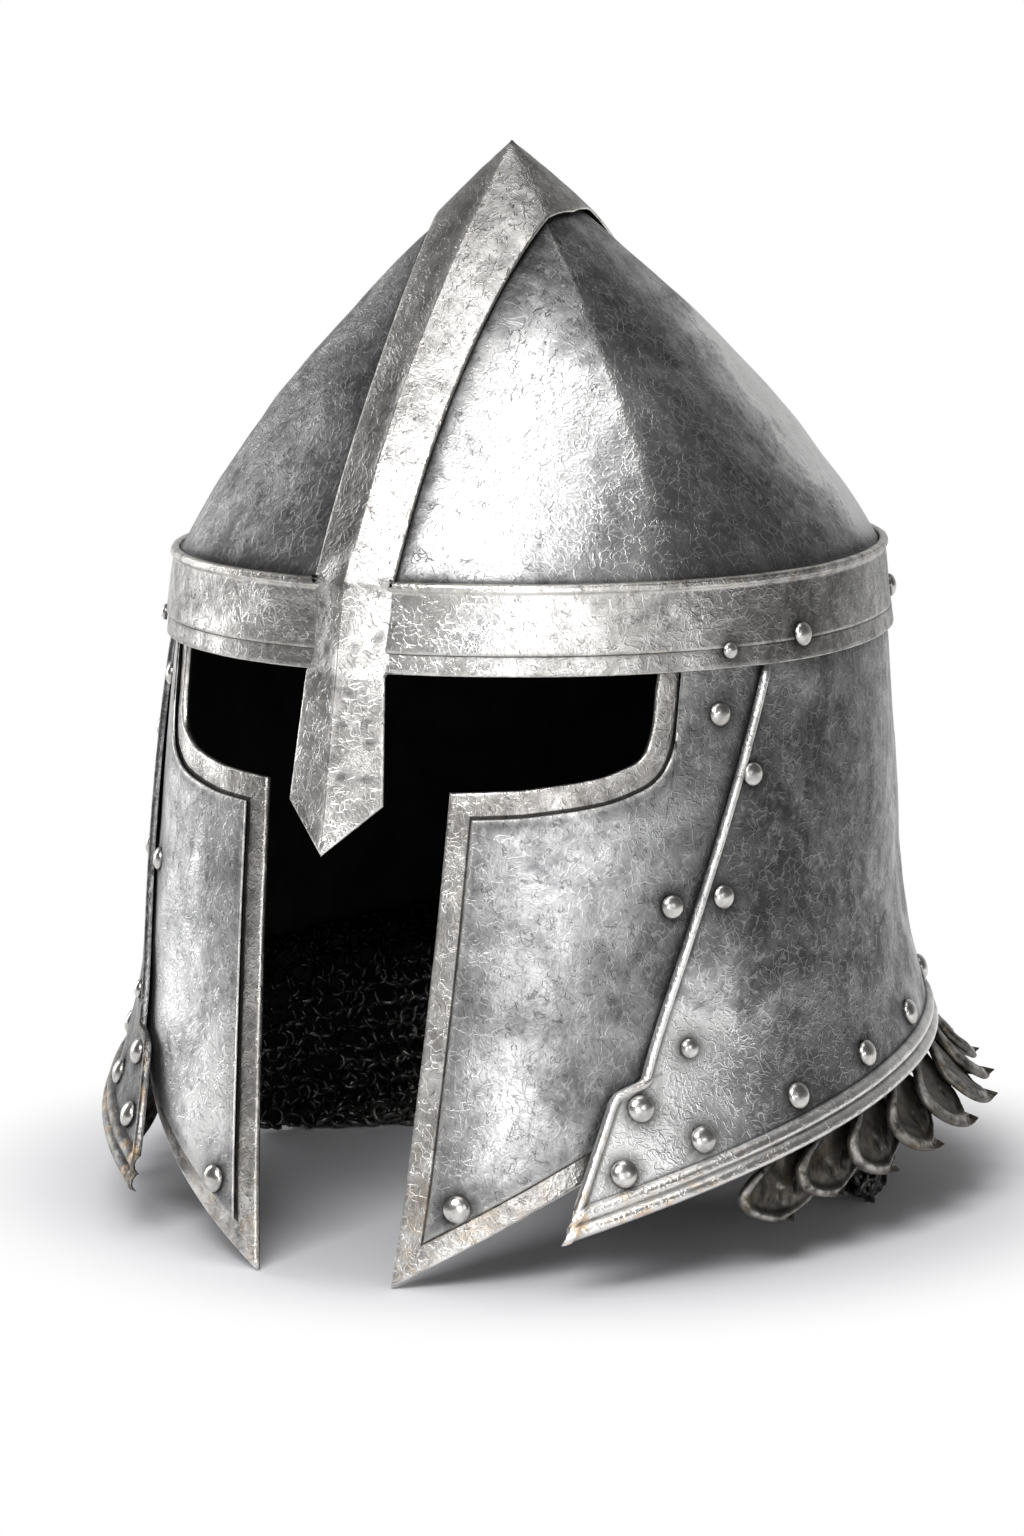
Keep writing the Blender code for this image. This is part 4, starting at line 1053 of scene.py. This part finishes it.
def build_face_frame():
    corners, _, _ = opening_corners()
    across = np.concatenate([
        [0.0, 0.0001, 0.0003, 0.0006, 0.001],
        np.linspace(0.0016, BORDER - GROOVE - 0.0006, 7),
        BORDER - GROOVE + np.array([-0.0002, 0.0, 0.0003, 0.0006]),
        np.linspace(BORDER, BORDER + BORDER_LAP, 4),
    ])
    flat = np.array([refined_like(corners, inset(corners, distance), 0.0022) for distance in across])
    angle = flat[..., 0] / UNROLL_RADIUS
    z = flat[..., 1]
    layer = FACE_OUTSIDE - CHEEK_OUTSIDE
    points = body_at(angle, z, layer)
    normals = surface_normals(body_at, angle, z)
    distance = across[:, None] + 0 * z
    radius = 0.0009
    drop = rounded_drop(distance, radius)
    thickness = 0.0014 + 0.0010 * clipped((0.004 - distance) / 0.001)
    dents = waves(points, 0.014, 0.0003, 7) + waves(points, 0.005, 0.00014, 8)
    points = points + normals * (np.minimum(dents, 0.00015) * clipped(distance / 0.001))[..., None]
    shade_and_grime = clipped((distance - (BORDER - GROOVE)) / 0.0003)
    edge = np.exp(-distance / 0.0009)
    low = clipped(1 - z / 0.05)
    # Painted light: the border is lightened all over, and more in its lowest 50 mm.
    layers = {"shade_and_grime": shade_and_grime, "edge": edge, "rust": 0.05 + 0.50 * low, "painted_shading": 0.2 + 0.5 * low}
    piece = shell("face_border", points, normals, thickness, drop, layers, frame_steel, inside_shade)
    return mirrored(piece)


def cheek_grid():
    """Unrolled points of a cheek plate: rows run down it, columns back from its front edge."""
    corners, top_corner, tip = opening_corners()
    border = inset(corners, BORDER)
    top_line = border[1 : top_corner + 1][::-1]
    top_end = np.array([seam_angle(PLATE_TOP_Z) * UNROLL_RADIUS + SEAM_LAP, top_line[-1][1]])
    top_line = np.vstack([top_line, top_end])
    front_line = border[top_corner : tip + 1]
    lower_line = border[tip:]
    top_length = lengths_along(top_line)[-1]
    front_length = lengths_along(front_line)[-1]
    lower_length = lengths_along(lower_line)[-1]
    across = steps(top_length, 0.0008, 0.0024) / top_length
    down = steps(front_length, 0.0008, 0.0024) / front_length
    heads = point_along(top_line, across * top_length)
    feet = point_along(lower_line, (1 - (1 - across) ** 1.6) * lower_length)
    fronts = point_along(front_line, down * front_length)
    straight = fronts[0] + (fronts[-1] - fronts[0]) * down[:, None]
    bow = fronts - straight
    grid = heads[None] * (1 - down)[:, None, None] + feet[None] * down[:, None, None]
    grid = grid + bow[:, None] * ((1 - across) ** 2)[None, :, None]
    return grid, np.vstack([top_line[::-1], front_line[1:], lower_line[1:]])


def build_cheek(side):
    flat, outline = cheek_grid()
    angle = flat[..., 0] / UNROLL_RADIUS
    z = flat[..., 1]
    points = body_at(angle, z)
    normals = surface_normals(body_at, angle, z)
    distance = distance_to(outline, flat)
    drop = rounded_drop(distance, 0.0006)
    dents = waves(points * (side, 1, 1), 0.030, 0.0009, 9) + waves(points * (side, 1, 1), 0.010, 0.0002, 10)
    points = points + normals * (np.minimum(dents, 0.0001) * clipped(distance / 0.004))[..., None]
    # Painted shade along the back plate's edge and under its wing, a faint dark band just inside the
    # plate's own edge, and painted shade round the rivets.
    seam = seam_angle(z) * UNROLL_RADIUS
    shade_and_grime = 0.9 * close_to(flat[..., 0], seam, 0.0030)
    wing = distance_to(wing_edge_path(), flat)
    shade_and_grime = np.maximum(shade_and_grime, 0.9 * np.exp(-wing / 0.0030))
    shade_and_grime = np.maximum(shade_and_grime, 0.35 * bell(distance, 0.0022, 0.0016))
    shade_and_grime = np.maximum(shade_and_grime, shade_round_rivets(points))
    edge = 0.9 * np.exp(-distance / 0.0007)
    points = points * (side, 1, 1)
    normals = normals * (side, 1, 1)
    word = "left" if side > 0 else "right"
    painted_shading = painted_shading_of(points, CHEEK_PAINTED_SHADING[word])
    layers = {"shade_and_grime": shade_and_grime, "edge": edge, "rust": 0.3 * edge, "painted_shading": painted_shading}
    return shell(f"cheek_{word}", points, normals, CHEEK_SHEET, drop, layers, cheek_steel, inside_shade)


# Back plate


def back_edge_path():
    """Front edge of the back plate as (angle, z), from the wing's tip up under the band."""
    wing_tip = (math.radians(WING_TIP_ANGLE), WING_TIP_Z)
    wing_top = (math.radians(WING_TOP_ANGLE), WING_TOP_Z)
    jog = (math.radians(WING_TOP_ANGLE + 0.9), (WING_TOP_Z + SEAM_FOOT_Z) / 2)
    seam_zs = np.linspace(SEAM_FOOT_Z, PLATE_TOP_Z - LAYER_GAP, 40)
    return np.array([wing_tip, wing_top, jog] + [(float(seam_angle(z)), z) for z in seam_zs])


def wing_edge_path():
    path = back_edge_path()[:4].copy()
    path[:, 0] *= UNROLL_RADIUS
    return path


def build_back():
    path = back_edge_path()
    top = PLATE_TOP_Z - LAYER_GAP
    bead_top = 2 * RIM_BEAD_HEIGHT
    low = np.array([0.0, 0.0001, 0.0003, 0.0006, 0.001, 0.0015, 0.0021, 0.0027, 0.0032, 0.0036, 0.0039])
    rises = np.concatenate([low, low + 0.0041, [0.0083, bead_top, bead_top + 0.0006, bead_top + 0.0015]])
    upper = np.concatenate([
        np.linspace(0.027, 0.050, 13),
        np.linspace(0.0515, 0.063, 20),
        np.linspace(0.0650, top - 0.0008, 52),
        [top],
    ])
    rows = len(rises) + len(upper)
    columns = np.concatenate([
        [0.0, 0.00012, 0.00035, 0.0007, 0.0011, 0.0016, 0.0021, 0.0026, 0.0031, 0.0037, 0.0045],
        np.linspace(0.006, 0.020, 9),
    ])
    far = np.linspace(0.0, 1.0, 92)[1:]
    angle = np.zeros((rows, len(columns) + len(far)))
    z = np.zeros_like(angle)
    for i in range(rows):

        def height(turn):
            foot = rim_z(turn)
            if i < len(rises):
                return foot + rises[i]
            share = (upper[i - len(rises)] - WING_TIP_Z - rises[-1]) / (top - WING_TIP_Z - rises[-1])
            return foot + rises[-1] + share * (top - foot - rises[-1])

        start = math.radians(WING_TIP_ANGLE)
        for _ in range(25):
            start = float(np.interp(height(start), path[:, 1], path[:, 0]))
        first = start + columns / UNROLL_RADIUS
        angle[i, : len(columns)] = first
        angle[i, len(columns) :] = first[-1] + (math.pi - first[-1]) * far
        z[i] = height(angle[i])
    foot = rim_z(angle)
    flat = np.stack([angle * UNROLL_RADIUS, z], axis=-1)
    edge_path = path * (UNROLL_RADIUS, 1.0)
    distance = distance_to(edge_path, flat)
    above = z - foot
    place = np.where(above < RIM_BEAD_HEIGHT, above, above - RIM_BEAD_HEIGHT) / RIM_BEAD_HEIGHT
    rim = np.where(above < bead_top, RIM_BEAD * (1 - np.abs(2 * place - 1) ** 2.6), 0.0)
    under_band = clipped((FACE_HEIGHT - BROW_TUCK - z) / 0.001)
    across = clipped(distance / SEAM_BEAD_WIDTH)
    seam = SEAM_BEAD * (1 - np.abs(2 * across - 1) ** 2.4) * under_band
    swell = np.maximum(rim, seam)
    points = back_at(angle, z, swell)
    points[:, -1, 0] = 0.0
    base = back_at(angle, z)
    normals = surface_normals(back_at, angle, z)
    dents = waves(base, 0.030, 0.0011, 11) + waves(base, 0.012, 0.0003, 12)
    hush = clipped((above - bead_top) / 0.006) * clipped((distance - SEAM_BEAD_WIDTH) / 0.005)
    hush = hush * clipped((np.pi - angle) / 0.06) * clipped((FACE_HEIGHT - z) / 0.01)
    points = points + normals * (np.minimum(dents, 0.0004) * hush)[..., None]
    nearest = np.minimum(distance, above)
    drop = rounded_drop(nearest, 0.0006)
    # Painted shade in the hollow behind the seam bead, above and between the rim beads, under the brow band
    # and round the rivets.
    behind_bead = distance > SEAM_BEAD_WIDTH * 0.8
    shade_and_grime = 0.95 * close_to(distance, SEAM_BEAD_WIDTH, 0.0009) * behind_bead * under_band
    shade_and_grime = np.maximum(shade_and_grime, 0.95 * close_to(above, bead_top, 0.0009) * (above > bead_top * 0.97))
    shade_and_grime = np.maximum(shade_and_grime, 0.7 * close_to(above, RIM_BEAD_HEIGHT, 0.00035))
    shade_and_grime = np.maximum(shade_and_grime, 0.6 * np.exp(-np.maximum(FACE_HEIGHT - z, 0.0) / 0.004))
    shade_and_grime = np.maximum(shade_and_grime, shade_round_rivets(points))
    edge = clipped(swell / SEAM_BEAD) * 0.9
    near_wing = np.exp(-np.maximum(angle - math.radians(WING_TIP_ANGLE), 0.0) / 0.45)
    low = clipped(1 - z / 0.075)
    rust = clipped(swell / SEAM_BEAD) * clipped(1.4 * near_wing * low)
    # Painted light and shade patches, plus a painted highlight along the beads.
    layers = {"shade_and_grime": shade_and_grime, "edge": edge, "rust": rust, "painted_shading": painted_shading_of(points, BACK_PAINTED_SHADING) + 0.9 * edge}
    half = shell("back_shell", points, normals, BACK_SHEET, drop, layers, back_steel, inside_shade)
    piece = mirrored(half)
    painted_shadings = piece.data.attributes["painted_shading"].data
    edges = piece.data.attributes["edge"].data
    for vert, painted_shading, worn in zip(piece.data.vertices, painted_shadings, edges):
        turn = math.degrees(math.atan2(vert.co.x, CENTRE_Y - vert.co.y))  # painted shade: the wing on the right and the plate's front on that side are darkened, their worn edges dimmed
        shaded = min(1.0, max(0.0, (100 + turn) / 40)) if turn < 0 else 0.0
        painted_shading.value += (-0.6 - painted_shading.value) * shaded
        worn.value *= 1 - 0.75 * shaded
    return piece


# Scales of the neck guard


def scale_half_width(v, widest):
    """Half width of a scale at share v of its length: narrow root, round tip."""
    opened = np.sin(0.5 * math.pi * clipped((v - SCALE_NECK_END) / (SCALE_WIDEST - SCALE_NECK_END)))
    closing = clipped((v - SCALE_WIDEST) / (1 - SCALE_WIDEST))
    return widest * (SCALE_ROOT_WIDTH + (1 - SCALE_ROOT_WIDTH) * opened) * np.sqrt(1 - closing**2.2)


def build_scale(name, middle_degrees, side, seed):
    """One petal with a thick raised lip, a shallow dish and a pair of slits near its tip."""
    middle = math.radians(middle_degrees)
    low, high = SPLAY_ANGLES
    turn = min(1.0, max(0.0, (middle_degrees - low) / (high - low)))
    tip_offset = SCALE_SPLAY_FRONT + (SCALE_SPLAY_BACK - SCALE_SPLAY_FRONT) * turn
    widest = 0.5 * SCALE_OVERLAP * math.radians(SCALE_SPACING)
    length = SCALE_ROOT_RISE + SCALE_DROP
    v = np.concatenate([np.linspace(0.0, 0.5, 14), 1 - 0.5 * (1 - np.linspace(0.0, 1.0, 26)[1:]) ** 1.7])
    v[-1] = 0.995
    u = np.sin(np.linspace(-0.5, 0.5, 37) * math.pi)
    wobble = np.array([noise.noise(Vector((share * 4.0, seed * 3.3, 0.5))) for share in v])
    half = scale_half_width(v, widest) * (0.97 + 0.06 * np.minimum(wobble, 0.3))
    angle = middle + u[None, :] * half[:, None]
    past_root = np.maximum(0.0, v - SCALE_FLAT_END)
    lifted = np.minimum(1.0, past_root / SCALE_LIFT_RUN)[:, None]
    splayed = (past_root / (1 - SCALE_FLAT_END)) ** SCALE_SPLAY_POWER
    out = SCALE_ROOT_OFFSET + (tip_offset - SCALE_ROOT_OFFSET) * splayed
    raised = lifted * (NAPE_LIFT + 0 * u if middle_degrees > 179.9 else -SCALE_LIFT * u)[None, :]
    local = middle + (angle - middle) * (1 - v)[:, None]
    foot = rim_z(np.minimum(local, 2 * math.pi - local))
    z = foot + SCALE_ROOT_RISE - v[:, None] * length
    points = body_at(angle, z, out[:, None] + raised)
    full = middle + u[None, :] * widest + 0 * z
    normals = normals_of(body_at(full, z, out[:, None] + raised))
    x = u[None, :] * half[:, None] * UNROLL_RADIUS
    y = v[:, None] * length + 0 * x
    flat = np.stack([x, y], axis=-1)
    outline = np.concatenate([flat[:, 0], flat[-1, 1:], flat[-2::-1, -1]])
    from_edge = distance_to(outline, flat)
    rough = waves(points, 0.010, 0.0008, seed) + waves(points, 0.0035, 0.0004, seed + 1)
    lip = SCALE_LIP * bell(from_edge, 0.0015, 0.0011)
    dish = SCALE_DISH * clipped((from_edge - 0.0032) / 0.004)
    slits = np.zeros_like(from_edge)
    for centre_x, centre_y, lean in SCALE_SLITS:
        along = (y - centre_y) * math.cos(lean) + (x - centre_x) * math.sin(lean)
        aside = (x - centre_x) * math.cos(lean) - (y - centre_y) * math.sin(lean)
        slits = np.maximum(slits, np.exp(-((along / 0.0034) ** 2) - (aside / 0.0012) ** 2))
    height = np.minimum(lip + dish + 0.7 * rough, 0.0010) - SLIT_DEPTH * slits
    points = points + normals * (height * clipped(from_edge / 0.0012))[..., None]
    thickness = 0.0019 + 0.0007 * np.exp(-from_edge / 0.003)
    drop = rounded_drop(from_edge, 0.0010)
    edge = bell(from_edge, 0.0010, 0.0008)
    edge = np.maximum(edge, bell(slits, 0.35, 0.15) * 0.8)
    # Painted shade: dark in the slits, near the root under the rim, and in the hollow inside the lip.
    shade_and_grime = np.maximum(clipped(2 * slits - 0.8), clipped(1 - y / 0.010) * 0.9)
    shade_and_grime = np.maximum(shade_and_grime, 0.75 * bell(from_edge, 0.0032, 0.0008))
    points = points * (side, 1, 1)
    normals = normals * (side, 1, 1)
    layers = {"shade_and_grime": shade_and_grime, "edge": edge}
    return shell(name, points, normals, thickness, drop, layers, scale_iron, scale_iron)


# Mail rings


def mail_surface(angle, s):
    """Points on the mail: s is the share of its full hang, from its top edge down and in on the floor."""
    foot = rim_z(angle)
    wave = MAIL_WAVE * np.sin(MAIL_WAVES * np.abs(angle))
    zero = 0 * foot
    offsets = np.stack([
        RIM_FLARE * 0.16 + zero,
        -RIM_FLARE * 0.20 + zero,
        -MAIL_WALL * 0.9 + 0.5 * wave,
        -MAIL_WALL * 1.5 + wave,
        -MAIL_REACH * 0.14 + wave,
        -MAIL_REACH * 0.24 + zero,
        -MAIL_REACH * 0.62 + zero,
        -MAIL_REACH + zero,
    ])
    floor_z = RING_WIRE + zero
    heights = np.stack([
        foot + MAIL_RISE,
        foot,
        foot * 0.62,
        foot * 0.28,
        np.maximum(floor_z, MAIL_WALL * 0.3),
        floor_z,
        floor_z,
        floor_z,
    ])
    runs = np.hypot(np.diff(offsets, axis=0), np.diff(heights, axis=0))
    places = np.concatenate([zero[None], np.cumsum(runs, axis=0)])
    at = s * places[-1]
    offset = offsets[0].copy()
    z = heights[0].copy()
    for i in range(len(runs)):
        share = clipped((at - places[i]) / runs[i])
        offset += (offsets[i + 1] - offsets[i]) * share
        z += (heights[i + 1] - heights[i]) * share
    return body_at(angle, z, offset - 0.5 * MAIL_WALL)


def mail_length_share(angle):
    """Short at the mail's front end and full from MAIL_FULL_ANGLE on."""
    share = (np.degrees(np.abs(angle)) - MAIL_FIRST_ANGLE) / (MAIL_FULL_ANGLE - MAIL_FIRST_ANGLE)
    return MAIL_FRONT_SHARE + (1 - MAIL_FRONT_SHARE) * clipped(share)


def ring_template(radius, wire, around=12, section=5):
    turn = np.arange(around) * 2 * math.pi / around
    roll = np.arange(section) * 2 * math.pi / section
    reach = radius + wire * np.cos(roll)[None, :]
    x = reach * np.cos(turn)[:, None]
    y = reach * np.sin(turn)[:, None]
    z = wire * np.sin(roll)[None, :] + 0 * x
    points = np.stack([x, y, z], axis=-1)
    faces = []
    for i in range(around):
        for j in range(section):
            a, b = i * section, ((i + 1) % around) * section
            k = (j + 1) % section
            faces.append((a + j, b + j, b + k, a + k))
    return points.reshape(-1, 3), np.array(faces)


def build_mail_core():
    """A near-black sheet in the middle of the mail: it stands in for the rings behind the front ones and is
    painted shade that keeps the pale floor from showing between the rings.
    """
    turns = np.linspace(-1.0, 1.0, 121)
    half_run = math.pi - math.radians(MAIL_FIRST_ANGLE + 1)
    angle = np.where(turns < 0, -1.0, 1.0) * (math.pi - np.abs(turns) * half_run)
    angle = np.sort(angle)
    angle = np.concatenate([angle[angle > 0], angle[angle < 0] + 2 * math.pi])
    signed = np.where(angle > math.pi, angle - 2 * math.pi, angle)
    s = np.linspace(0.02, 0.96, 40)[:, None] * mail_length_share(signed)[None, :]
    points = mail_surface(signed[None, :] + 0 * s, s)
    points[..., 2] = np.maximum(points[..., 2], 0.0009)
    normals = normals_of(points)
    drop = np.zeros(points.shape[:-1])
    return shell("mail_core", points, normals, 0.0004, drop, {}, inside_shade, inside_shade)


def build_mail():
    """Rings in rows, each row leaning the other way from the next, as woven mail does."""
    template, template_faces = ring_template(RING_RADIUS, RING_WIRE, 9, 4)
    rng = np.random.default_rng(7)
    first = math.radians(MAIL_FIRST_ANGLE) + 0.02
    points = []
    faces = []
    for row in range(RING_ROWS):
        s = (row + 0.5) / RING_ROWS
        count = int(round(RINGS_IN_TOP_ROW * (1 - 0.36 * max(0.0, (s - 0.55) / 0.45))))
        turns = first + (np.arange(count) + 0.5 * (row % 2)) * 2 * (math.pi - first) / (count - 0.5)
        turns = np.where(turns > math.pi, turns - 2 * math.pi, turns)
        turns = turns[s < mail_length_share(turns)]
        levels = np.full_like(turns, s)
        here = mail_surface(turns, levels)
        across = mail_surface(turns + 0.01, levels) - mail_surface(turns - 0.01, levels)
        down = mail_surface(turns, levels + 0.012) - mail_surface(turns, levels - 0.012)
        across /= np.linalg.norm(across, axis=1, keepdims=True)
        down /= np.linalg.norm(down, axis=1, keepdims=True)
        normal = np.cross(down, across)
        lean = (RING_LEAN if row % 2 else -RING_LEAN) + rng.normal(0.0, RING_DISORDER, len(turns))
        tilt = rng.normal(0.0, RING_DISORDER, len(turns))
        shift = rng.normal(0.0, 0.0005, (len(turns), 3))
        axis_y = down * np.cos(lean)[:, None] + normal * np.sin(lean)[:, None]
        axis_x = across * np.cos(tilt)[:, None] + np.cross(axis_y, across) * np.sin(tilt)[:, None]
        axis_z = np.cross(axis_x, axis_y)
        for k in range(len(turns)):
            basis = np.stack([axis_x[k], axis_y[k], axis_z[k]])
            placed = template @ basis + here[k] + shift[k]
            placed[:, 2] += max(0.0, 0.0002 - placed[:, 2].min())
            faces.append(template_faces + len(template) * len(points))
            points.append(placed)
    return make_mesh("mail_rings", np.concatenate(points), np.concatenate(faces).tolist(), {}, ring_painted_shade)


# Rivets


def build_rivets():
    """All rivet heads as one piece: slightly uneven domes."""
    around = 24
    rise = 8
    points = []
    faces = []
    layers = {"shade_and_grime": []}
    count = 0
    for number, (_, centre, normal, radius) in enumerate(RIVETS):
        side = np.cross(normal, (0.0, 0.0, 1.0))
        side /= np.linalg.norm(side)
        up = np.cross(side, normal)
        tilt = np.linspace(0.0, 1.0, rise + 1)
        reach = radius * np.cos(tilt * math.pi / 2)
        height = radius * RIVET_DOME * np.sin(tilt * math.pi / 2) + 0.0002
        rows = [(radius * 1.0, -0.0004)] + list(zip(reach, height))
        for level, (r, h) in enumerate(rows):
            for i in range(around):
                turn = 2 * math.pi * i / around
                wobble = 1 + 0.03 * noise.noise(Vector((math.cos(turn), math.sin(turn), number * 3.7)))
                flat = side * math.cos(turn) + up * math.sin(turn)
                points.append(centre + flat * r * wobble + normal * h * (1 + 0.06 * (wobble - 1)))
                # painted shade at the foot of each dome, where it meets the plate
                layers["shade_and_grime"].append(0.9 if level <= 1 else 0.25 if level == 2 else 0.0)
        for level in range(len(rows) - 1):
            for i in range(around):
                j = (i + 1) % around
                a, b = count + level * around, count + (level + 1) * around
                faces.append((a + i, a + j, b + j, b + i))
        count += len(rows) * around
    return make_mesh("rivet_heads", np.array(points), faces, layers, rivet_steel)


skull_piece = build_skull()
band_piece = build_band()
crest_piece = build_crest()
border_piece = build_face_frame()
cheek_left = build_cheek(1)
cheek_right = build_cheek(-1)
back_piece = build_back()
mail_piece = build_mail()
mail_core = build_mail_core()
rivet_piece = build_rivets()

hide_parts("skull")
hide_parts("band_frame")
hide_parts("face_frame")
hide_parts("cheek_plate_left")
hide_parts("cheek_plate_right")
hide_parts("back_plate")
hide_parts("mail_curtain")
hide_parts(*[name for name, _, _, _ in RIVETS if "_rim_" not in name])

slots = [
    (skull_piece, "worn_steel"),
    (band_piece, "bright_steel"),
    (crest_piece, "bright_steel"),
    (border_piece, "bright_steel"),
    (cheek_left, "worn_steel"),
    (cheek_right, "worn_steel"),
    (back_piece, "worn_steel"),
    (mail_piece, "black_mail"),
    (mail_core, "black_mail"),
    (rivet_piece, "bright_steel"),
]

for i in range(SCALE_COUNT_PER_SIDE):
    for side, word in ((1, "left"), (-1, "right")):
        degrees = SCALE_FIRST_ANGLE + i * SCALE_SPACING
        scale_piece = build_scale(f"petal_{i + 1}_{word}", degrees, side, 20 + i * 2 + side)
        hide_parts(f"scale_{i + 1}_{word}")
        slots.append((scale_piece, "dark_iron"))
nape_piece = build_scale("petal_nape", 180.0, 1, 60)
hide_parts("scale_nape")
slots.append((nape_piece, "dark_iron"))


def keep_inside(piece, low, high):
    """Moves the points that stick out of a box back onto it."""
    verts = piece.data.vertices
    points = np.empty(len(verts) * 3, np.float32)
    verts.foreach_get("co", points)
    points = np.clip(points.reshape(-1, 3), low, high)
    verts.foreach_set("co", points.ravel())
    piece.data.update()


for piece, slot in slots:
    keep_inside(piece, cad_box[0], cad_box[1])
    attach(piece, "root")


# Floor, light and camera
FLOOR_WHITE_FROM = 0.134
FLOOR_WHITE_AT = 0.208
SENSOR_HEIGHT = 36.0
PICTURE_HEIGHT = 1536.0
FOCAL_LENGTH = 5000.0  # in pixels of the picture


def pale_floor():
    """A near-white floor that turns fully white away from the helmet."""
    floor_mesh = bpy.data.meshes.new("floor")
    reach = 6.0
    corners = [(-reach, -reach, 0), (reach, -reach, 0), (reach, reach, 0), (-reach, reach, 0)]
    floor_mesh.from_pydata(corners, [], [(0, 1, 2, 3)])
    floor = bpy.data.objects.new("floor", floor_mesh)
    bpy.context.scene.collection.objects.link(floor)
    n = Nodes("pale_floor")
    far = n.new("ShaderNodeVectorMath", {0: n.place}, operation="LENGTH")
    fade = n.range(far.outputs["Value"], FLOOR_WHITE_FROM, FLOOR_WHITE_AT)
    fade.node.interpolation_type = "SMOOTHSTEP"
    white = n.new("ShaderNodeEmission", {"Color": (1.0, 1.0, 1.0, 1.0)})
    blend = n.new("ShaderNodeMixShader", {0: fade, 1: n.shader.outputs[0], 2: white.outputs[0]})
    n.join(blend.outputs[0], n.tree.nodes["Material Output"].inputs["Surface"])
    floor_mesh.materials.append(n.done({"Base Color": (0.88, 0.88, 0.91, 1.0), "Roughness": 0.9}))
    floor.location.z = -0.0002


def area_light(name, azimuth, elevation, distance, size, power, target):
    """A soft square light, azimuth degrees from the front towards the wearer's left."""
    turn, rise = math.radians(azimuth), math.radians(elevation)
    lamp = bpy.data.lights.new(name, "AREA")
    lamp.shape = "RECTANGLE"
    lamp.size, lamp.size_y = size
    lamp.energy = power
    stand = bpy.data.objects.new(name, lamp)
    away = Vector((math.sin(turn) * math.cos(rise), -math.cos(turn) * math.cos(rise), math.sin(rise)))
    stand.location = Vector(target) + away * distance
    stand.rotation_mode = "QUATERNION"
    stand.rotation_quaternion = away.to_track_quat("Z", "Y")
    bpy.context.scene.collection.objects.link(stand)


def studio_world():
    world = bpy.data.worlds.new("studio")
    bpy.context.scene.world = world
    world.use_nodes = True
    tree = world.node_tree
    tree.nodes.clear()
    out = tree.nodes.new("ShaderNodeOutputWorld")
    seen = tree.nodes.new("ShaderNodeBackground")
    seen.inputs["Color"].default_value = (1.0, 1.0, 1.0, 1.0)
    seen.inputs["Strength"].default_value = 1.0
    around = tree.nodes.new("ShaderNodeBackground")
    place = tree.nodes.new("ShaderNodeTexCoord")
    behind = tree.nodes.new("ShaderNodeVectorMath")
    behind.operation = "DOT_PRODUCT"
    behind.inputs[1].default_value = (-0.454, 0.891, 0.0)
    glow = tree.nodes.new("ShaderNodeMapRange")
    glow.inputs["From Min"].default_value = 0.25
    glow.inputs["To Min"].default_value = 0.13
    glow.inputs["To Max"].default_value = 0.85
    path = tree.nodes.new("ShaderNodeLightPath")
    mix = tree.nodes.new("ShaderNodeMixShader")
    tree.links.new(place.outputs["Generated"], behind.inputs[0])
    tree.links.new(behind.outputs["Value"], glow.inputs["Value"])
    tree.links.new(glow.outputs["Result"], around.inputs["Strength"])
    tree.links.new(path.outputs["Is Camera Ray"], mix.inputs[0])
    tree.links.new(around.outputs[0], mix.inputs[1])
    tree.links.new(seen.outputs[0], mix.inputs[2])
    tree.links.new(mix.outputs[0], out.inputs["Surface"])


def photo_camera():
    """The photo's viewpoint, taken as a picture of 1024 by 1536."""
    camera = bpy.data.cameras.new("camera")
    camera.sensor_fit = "VERTICAL"
    camera.sensor_height = SENSOR_HEIGHT
    camera.lens = SENSOR_HEIGHT * FOCAL_LENGTH / PICTURE_HEIGHT
    stand = bpy.data.objects.new("camera", camera)
    stand.location = (0.6996, POINT_Y - 1.3730, 0.3861)
    stand.rotation_euler = (math.radians(90.0 - 9.25), 0.0, math.radians(27.0))
    bpy.context.scene.collection.objects.link(stand)
    bpy.context.scene.camera = stand


# Name, azimuth, elevation, distance, size, power and target of each light
HELMET_MIDDLE = (0.0, 0.0, 0.15)
WING = (0.09, -0.08, 0.05)
LIGHTS = (
    ("key", 8.0, 40.0, 1.6, (0.8, 0.7), 17.0, HELMET_MIDDLE),
    ("low_front", 34.0, 5.0, 1.8, (0.6, 0.6), 5.0, HELMET_MIDDLE),
    ("wing_glow", 64.0, 15.0, 1.8, (0.5, 0.4), 2.4, WING),
    ("left_strip", -98.0, 12.0, 1.5, (0.4, 1.1), 7.0, HELMET_MIDDLE),
    ("top", 60.0, 80.0, 1.6, (0.9, 0.9), 5.0, HELMET_MIDDLE),
)

pale_floor()
for light in LIGHTS:
    area_light(*light)
studio_world()
photo_camera()
bpy.context.scene.view_settings.view_transform = "Standard"
bpy.context.scene.view_settings.look = "None"
